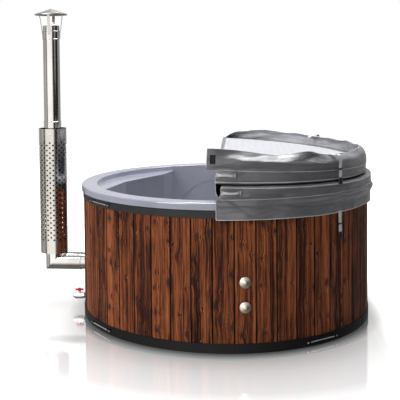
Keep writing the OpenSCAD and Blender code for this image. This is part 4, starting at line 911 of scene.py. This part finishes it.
def band(path, widths, t, across):
    """Flat webbing along a path of points; across is the webbing's width direction at each point."""
    path, across = np.asarray(path, float), np.asarray(across, float)
    if across.ndim == 1:
        across = np.broadcast_to(across, path.shape)
    tangent = np.gradient(path, axis=0)
    tangent /= np.linalg.norm(tangent, axis=1, keepdims=True)
    normal = np.cross(across, tangent)
    normal /= np.linalg.norm(normal, axis=1, keepdims=True)
    w = np.broadcast_to(np.asarray(widths, float), (len(path),))[:, None]
    corners = [(-0.5, -0.3), (-0.44, -0.5), (0, -0.5), (0.44, -0.5), (0.5, -0.3)]
    corners += [(-a, -b) for a, b in corners]
    rings = np.stack([path + across * w * a + normal * t * b for a, b in corners], axis=1)
    k, c = rings.shape[:2]
    faces = grid_faces(k, c, close_m=True)
    faces.append(tuple(range(c)))
    faces.append(tuple((k - 1) * c + j for j in reversed(range(c))))
    return rings.reshape(-1, 3), faces


def spline(points, n=60):
    """Smooth curve through a few points."""
    p = np.asarray(points, float)
    d = np.concatenate([[0], np.cumsum(np.linalg.norm(np.diff(p, axis=0), axis=1))])
    t = np.linspace(0, d[-1], n)
    return np.stack([smooth_between(t, d, p[:, i]) for i in range(p.shape[1])], axis=1)


# Half of a grip: sewn flat at its end and bowed out towards its middle
GRIP = [(-0.0585, 0, 0.0026), (-0.050, 0, 0.0028), (-0.042, 0.001, 0.010), (-0.022, 0, 0.0155)]
GRIP_PATH = GRIP + [(0, -0.001, 0.0165)] + [(-x, y, z) for x, y, z in reversed(GRIP)]
GRIP_AT = [0, 0.03, 0.044, 0.050, 0.0585]
GRIP_WIDTH = [0.013, 0.0135, 0.017, 0.022, 0.022]


def build_handles(half, body, place, share):
    """Carry handles: a bowed webbing grip on a stitched patch, front and back."""
    plates, grips, threads = [], [], []
    z = PANEL_Z + FOLD_T * share
    for az in (3.4, 176.6):
        plates.append(placed(rounded_plate(0.124, 0.05, 0.0012, 0.004), az, COVER_R + 0.0038, z))
        line = outline(-0.058, 0.058, 0.021, 0.0014)
        threads.append(placed(stitches(line, 0.0006, 0.006, 0.004, True), az, COVER_R + 0.0038, z))
        pts = spline(GRIP_PATH, 70)
        width = np.interp(np.abs(pts[:, 0]), GRIP_AT, GRIP_WIDTH)
        grips.append(placed(band(pts, width, 0.004, (0, 1, 0)), az, COVER_R + 0.0038, z))
        for e in (-1, 1):
            box = outline(e * 0.043, e * 0.053, 0.009, 0.0045)
            threads.append(placed(stitches(box, 0.0005, 0.005, 0.0035, True), az, COVER_R + 0.0042, z))

    def piece(what, parts, look):
        verts, faces = joined(parts)
        return make(f"{half}_handle_{what}", place(verts), faces, look, body)

    plate = piece("patches", plates, VINYL)
    grip = piece("grips", grips, VINYL_PAINTED_HIGHLIGHT)
    thread = piece("stitching", threads, THREAD)
    for o in (plate, grip, thread):
        outwards(o)
    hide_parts(f"{half}_handles")


build_handles("lower", "cover", same, 0.58)
build_handles("upper", "upper_half", folded, 0.45)


def buckle_part(w, h, t, r):
    """Side-release buckle half: a rounded block with ribs and a mouth for the webbing."""
    parts = [rounded_plate(w, h, t, r, 0.0012)]
    for i in range(4):
        v, f = rounded_plate(w * 0.62, 0.0016, 0.0012, 0.0006, 0.0003)
        v = v + np.array([0, -h * 0.28 + i * 0.0042, t - 0.0002])
        parts.append((v, f))
    v, f = rounded_plate(w * 0.8, 0.005, 0.0014, 0.001, 0.0004)
    parts.append((v + np.array([0, h * 0.36, t - 0.0004]), f))
    return joined(parts)


def build_strap(name, az, wall_r, top_z, length, lead, tilt=0.0, flat=None):
    """Webbing that hangs with a slider and a buckle. lead is its run from the skirt's edge, as (r, z)."""
    body = f"{name}_body"
    w = 0.029
    pts = spline(np.array([(r, 0.0, z) for r, z in lead]), 70)
    path = polar(np.full(len(pts), az), pts[:, 0], pts[:, 2])
    drop = top_z - pts[:, 2]
    side = polar(np.array([az + 90.0]), 1.0, 0.0)[0]
    shift = math.tan(math.radians(tilt))
    path = path + side * (shift * np.clip(drop, 0, None))[:, None]
    tape = outwards(make(f"{name}_webbing", *band(path, w, 0.0018, side), WEBBING, body))
    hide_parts(name)
    hard = []
    slider = rounded_plate(w + 0.008, 0.011, 0.0062, 0.0028, 0.0012)
    clasp = buckle_part(w + 0.004, 0.04, 0.0085, 0.005)
    for drop_at, part in ((0.085, slider), (length - 0.02, clasp)):
        v, f = placed(part, az, wall_r - 0.0035, top_z - drop_at, -tilt)
        v = v + side * shift * drop_at
        hard.append((v, f))
    hardware = outwards(make(f"{name}_buckle", *joined(hard), BUCKLE, body))
    edge = [path[3:-3] + side * e * (w / 2 - 0.003) for e in (-1, 1)]
    out = polar(np.array([az]), 1.0, 0.0)[0] * 0.0012
    rows = [stitches(e + out, 0.0004, 0.005, 0.0035) for e in edge]
    thread = make(f"{name}_stitching", *joined(rows), THREAD, body)
    if flat:
        for o in (tape, hardware, thread):
            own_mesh(o)


def row_at(grid, span, az):
    return grid[int(round((az - span[0]) / (span[1] - span[0]) * (len(grid) - 1)))]


def reach(point):
    return float(np.hypot(point[0], point[1]))


for side_name, az in (("front", STRAP_AZ), ("back", 180 - STRAP_AZ)):
    row = row_at(upper_skirt_grid(CLOTH), UPPER_SPAN, az)
    crest = row[int(np.argmax(row[:, 2]))]
    crest_r, crest_z = reach(crest), float(crest[2])
    wall = COVER_R + 0.0105
    if side_name == "front":
        start = (min(reach(row[-1]), crest_r) - 0.004, crest_z + 0.0016)
    else:
        start = (crest_r - 0.035, crest_z - 0.012)
    lead = [start, (crest_r + 0.004, crest_z + 0.0030), ((crest_r + wall) / 2, crest_z + 0.0040)]
    lead += [(wall - 0.006, crest_z + 0.0015)]
    lead += [(wall, crest_z - drop) for drop in (0.010, 0.06, 0.12, 0.150)]
    build_strap(f"upper_strap_{side_name}", az, wall, crest_z + 0.002, 0.178, lead, 0.0, upper_flat)
    top = PANEL_Z + SEAM_UP + 0.005 - SKIRT_L
    wall = reach(row_at(lower_skirt_grid(CLOTH), LOWER_SPAN, az)[-2]) + 0.0022
    lead = [(wall, top + 0.010)] + [(wall, top - drop) for drop in (0.02, 0.07, 0.12, 0.138)]
    build_strap(f"lower_strap_{side_name}", az, wall, top + 0.010, 0.176, lead, 2.5)


def build_gusset():
    """Strip that joins the halves at the fold and hangs in a loop under the upper one."""
    face = -2 * HINGE_X + 0.001 - 0.0012
    gap = -0.0012 - face
    loop = [(face, HINGE_Z + 0.060), (face - 0.0006, HINGE_Z + 0.024), (face + 0.0005, HINGE_Z - 0.010)]
    sag = ((0.12, 0.055), (0.35, 0.036), (0.6, 0.030), (0.84, 0.038))
    loop += [(face + gap * share, PANEL_Z + height) for share, height in sag]
    loop += [(-0.0016, PANEL_Z + 0.056), (-0.0012, PANEL_Z + 0.068), (-0.0012, PANEL_Z + 0.084)]
    p = spline(np.array([(x, 0.0, z) for x, z in loop]), 60)
    n = 130
    y = np.linspace(-0.994, 0.994, n)
    centre = np.repeat(p[None], n, axis=0)
    centre[..., 1] = y[:, None]
    weight = np.sin(np.linspace(0, math.pi, len(p)))[None, :] ** 2
    sway = ripple(y[:, None], 0 * weight, 61, 7, 0.8, 4.0)
    centre[..., 2] = centre[..., 2] - 0.004 * weight * (1 + sway)
    nrm = normals_of(centre)
    v, f = thick_sheet(centre + nrm * 0.0008, centre - nrm * 0.0008)
    obj = outwards(make("fold_strip", v, f, VINYL, "upper_half"))
    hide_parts("fold_gusset")
    # Bound edge at the strip's front end in the painted-highlight vinyl, like the one along the skirts' hems
    ends = []
    for k, inwards in ((0, 0.0005), (-1, -0.0005)):
        ends.append(tube(resampled(centre[k] + (0, inwards, 0), 0.005), 0.0024, 8))
    cord = outwards(make("fold_strip_binding", *joined(ends), VINYL_PAINTED_HIGHLIGHT, "upper_half"))
    for o in (obj, cord):
        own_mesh(o)


build_gusset()


def build_hook_tape():
    """Hook tape on the upper skirt's front end."""
    block = upper_skirt_grid(0.0012, 14, 60, (-2.2, -0.35), (0.26, 0.70))
    n = normals_of(block)
    flip = 1.0 if (n[5, 5] @ np.array([0, -1, 0])) > 0 else -1.0
    v, f = thick_sheet(block + n * flip * 0.0018, block + n * flip * 0.0003)
    obj = outwards(make("upper_skirt_hook_tape", v, f, HOOK_TAPE, "upper_half"))
    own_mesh(obj)


build_hook_tape()


# Studio


def build_floor():
    """White floor that mirrors the tub near its foot and fades to plain white away from it."""
    s = Shade("floor")
    s.tree.nodes.remove(s.bsdf)
    diffuse = s.add("ShaderNodeBsdfDiffuse")
    s.fill(diffuse, Color=(0.55, 0.55, 0.555, 1))
    glow = s.add("ShaderNodeEmission")
    path = s.add("ShaderNodeLightPath")
    matt = s.add("ShaderNodeAddShader")
    s.link(diffuse.outputs[0], matt.inputs[0])
    s.link(glow.outputs[0], matt.inputs[1])
    gloss = s.add("ShaderNodeBsdfGlossy")
    s.fill(gloss, Roughness=0.07, Color=(1, 1, 1, 1))
    length = s.add("ShaderNodeVectorMath", operation="LENGTH")
    s.link(s.scaled(1, 1, 0), length.inputs[0])
    mirror = [(0.10, 0.92), (0.18, 0.58), (0.34, 0.52), (0.58, 0.52), (0.95, 0.2)]
    fade = s.range(length.outputs["Value"], 0.9, 2.1, 0, 1)
    fade = s.ramp(fade, [(place, (share,) * 3) for place, share in mirror])
    # Only the part of the floor below the tub and the flue mirrors them
    x = s.xyz(s.coord)[0]
    fade = s.mul(fade, s.range(x, 1.0, 1.16, 1, 0))
    fade = s.mul(fade, s.range(x, -1.42, -1.32, 0, 1))
    # The camera sees the floor turn plain white far out, while its light on the tub stays even
    own = 0.25
    far = s.minus(s.range(length.outputs["Value"], 1.05, 2.3, 0.6, 1.1), own)
    # Painted light: to the sides of the tub the floor glows brighter for the camera, lifting the shade the
    # tub casts there
    far = s.plus(far, s.range(s.math("ABSOLUTE", x), 0.94, 1.1, 0, 0.32))
    s.link(s.plus(s.mul(far, path.outputs["Is Camera Ray"]), own), glow.inputs["Strength"])
    seen = s.blend(fade, matt.outputs[0], gloss.outputs[0])
    clear = s.add("ShaderNodeBsdfTransparent").outputs[0]
    s.link(s.blend(path.outputs["Is Glossy Ray"], seen, clear), s.out.inputs["Surface"])
    n = 24
    g = np.linspace(-12, 12, n)
    verts = np.array([(x, y, 0.0) for x in g for y in g])
    floor = make("floor", verts, grid_faces(n, n), s.material, None, False)
    for p in floor.data.polygons:
        if p.normal.z < 0:
            p.flip()


build_floor()


def build_world():
    """White room for the camera; in reflections a pale back and a dark front with bright bands."""
    world = bpy.data.worlds.new("studio")
    scene.world = world
    s = Nodes(world)

    def ground(colour, strength=1.0):
        n = s.add("ShaderNodeBackground")
        if isinstance(colour, tuple):
            n.inputs["Color"].default_value = (*colour, 1)
        else:
            s.link(colour, n.inputs["Color"])
        if isinstance(strength, float):
            n.inputs["Strength"].default_value = strength
        else:
            s.link(strength, n.inputs["Strength"])
        return n.outputs[0]

    x, y, z = s.xyz(s.add("ShaderNodeTexCoord").outputs["Generated"])
    turn = s.math("ARCTAN2", x, s.mul(y, -1.0))
    place = s.plus(s.mul(turn, 0.5 / math.pi), 0.5)
    bands = [
        (0.0, 0.55), (0.04, 0.55), (0.07, 0.45), (0.19, 0.5), (0.21, 0.10), (0.235, 0.55),
        (0.305, 0.5), (0.325, 0.08), (0.345, 0.14), (0.362, 1.25), (0.548, 1.25), (0.575, 0.10),
        (0.611, 0.015), (0.775, 0.015), (0.80, 0.30), (0.93, 0.36), (0.96, 0.5), (1.0, 0.55),
    ]
    room = ground(s.ramp(place, [(p, (v, v * 0.985, v * 0.96)) for p, v in bands]))
    sky = ground((0.44, 0.45, 0.47))
    under = ground((0.16, 0.155, 0.15))
    mirrored = s.blend(s.range(z, 0.36, 0.62, 0, 1), room, sky)
    mirrored = s.blend(s.range(s.mul(z, -1.0), 0.32, 0.75, 0, 1), mirrored, under)
    # Softer light from the right than from the left
    soft = ground((0.95, 0.97, 1.0), s.plus(0.30, s.mul(x, -0.24)))
    white = ground((1, 1, 1))
    path = s.add("ShaderNodeLightPath")
    rest = s.blend(path.outputs["Is Glossy Ray"], soft, mirrored)
    straight = s.math("MAXIMUM", path.outputs["Is Camera Ray"], path.outputs["Is Transmission Ray"])
    s.link(s.blend(straight, rest, white), s.add("ShaderNodeOutputWorld").inputs["Surface"])


build_world()


def area_light(name, at, target, size, power, colour=(1, 1, 1)):
    data = bpy.data.lights.new(name, "AREA")
    data.energy = power
    data.color = colour
    data.size = size
    obj = bpy.data.objects.new(name, data)
    obj.location = at
    obj.rotation_euler = (Vector(target) - Vector(at)).to_track_quat("-Z", "Y").to_euler()
    scene.collection.objects.link(obj)


area_light("key", (-3.6, -4.2, 4.2), (0, 0, 0.6), 2.2, 250, (1, 0.985, 0.96))
area_light("fill", (4.6, -3.4, 2.6), (0.3, 0, 0.7), 2.4, 5, (0.95, 0.97, 1))
area_light("top", (0.3, 0.6, 4.8), (0.2, 0, 0.9), 3.0, 400)

# Camera fitted to the photograph, whose picture is 400 by 400
PICTURE, FOCAL, CENTRE = 400, 816.48, (179.64, 98.94)
pitch, roll = 0.0404, -0.0093
forward = Vector((-0.0732 * math.cos(pitch), 0.9973 * math.cos(pitch), -math.sin(pitch))).normalized()
right = Vector((0.9973, 0.0732, 0)).normalized()
up = right.cross(forward)
right2 = right * math.cos(roll) + up * math.sin(roll)
up2 = -right * math.sin(roll) + up * math.cos(roll)
cam_data = bpy.data.cameras.new("camera")
cam_data.sensor_width = 36
cam_data.lens = FOCAL / PICTURE * 36
cam_data.shift_x = (PICTURE / 2 - CENTRE[0]) / PICTURE
cam_data.shift_y = -(PICTURE / 2 - CENTRE[1]) / PICTURE
cam_data.clip_end = 100
cam = bpy.data.objects.new("camera", cam_data)
basis = Matrix((right2, up2, -forward)).transposed()
cam.matrix_world = Matrix.Translation((0.1126, -5.8244, 1.7231)) @ basis.to_4x4()
scene.collection.objects.link(cam)
scene.camera = cam

scene.view_settings.view_transform = "Standard"
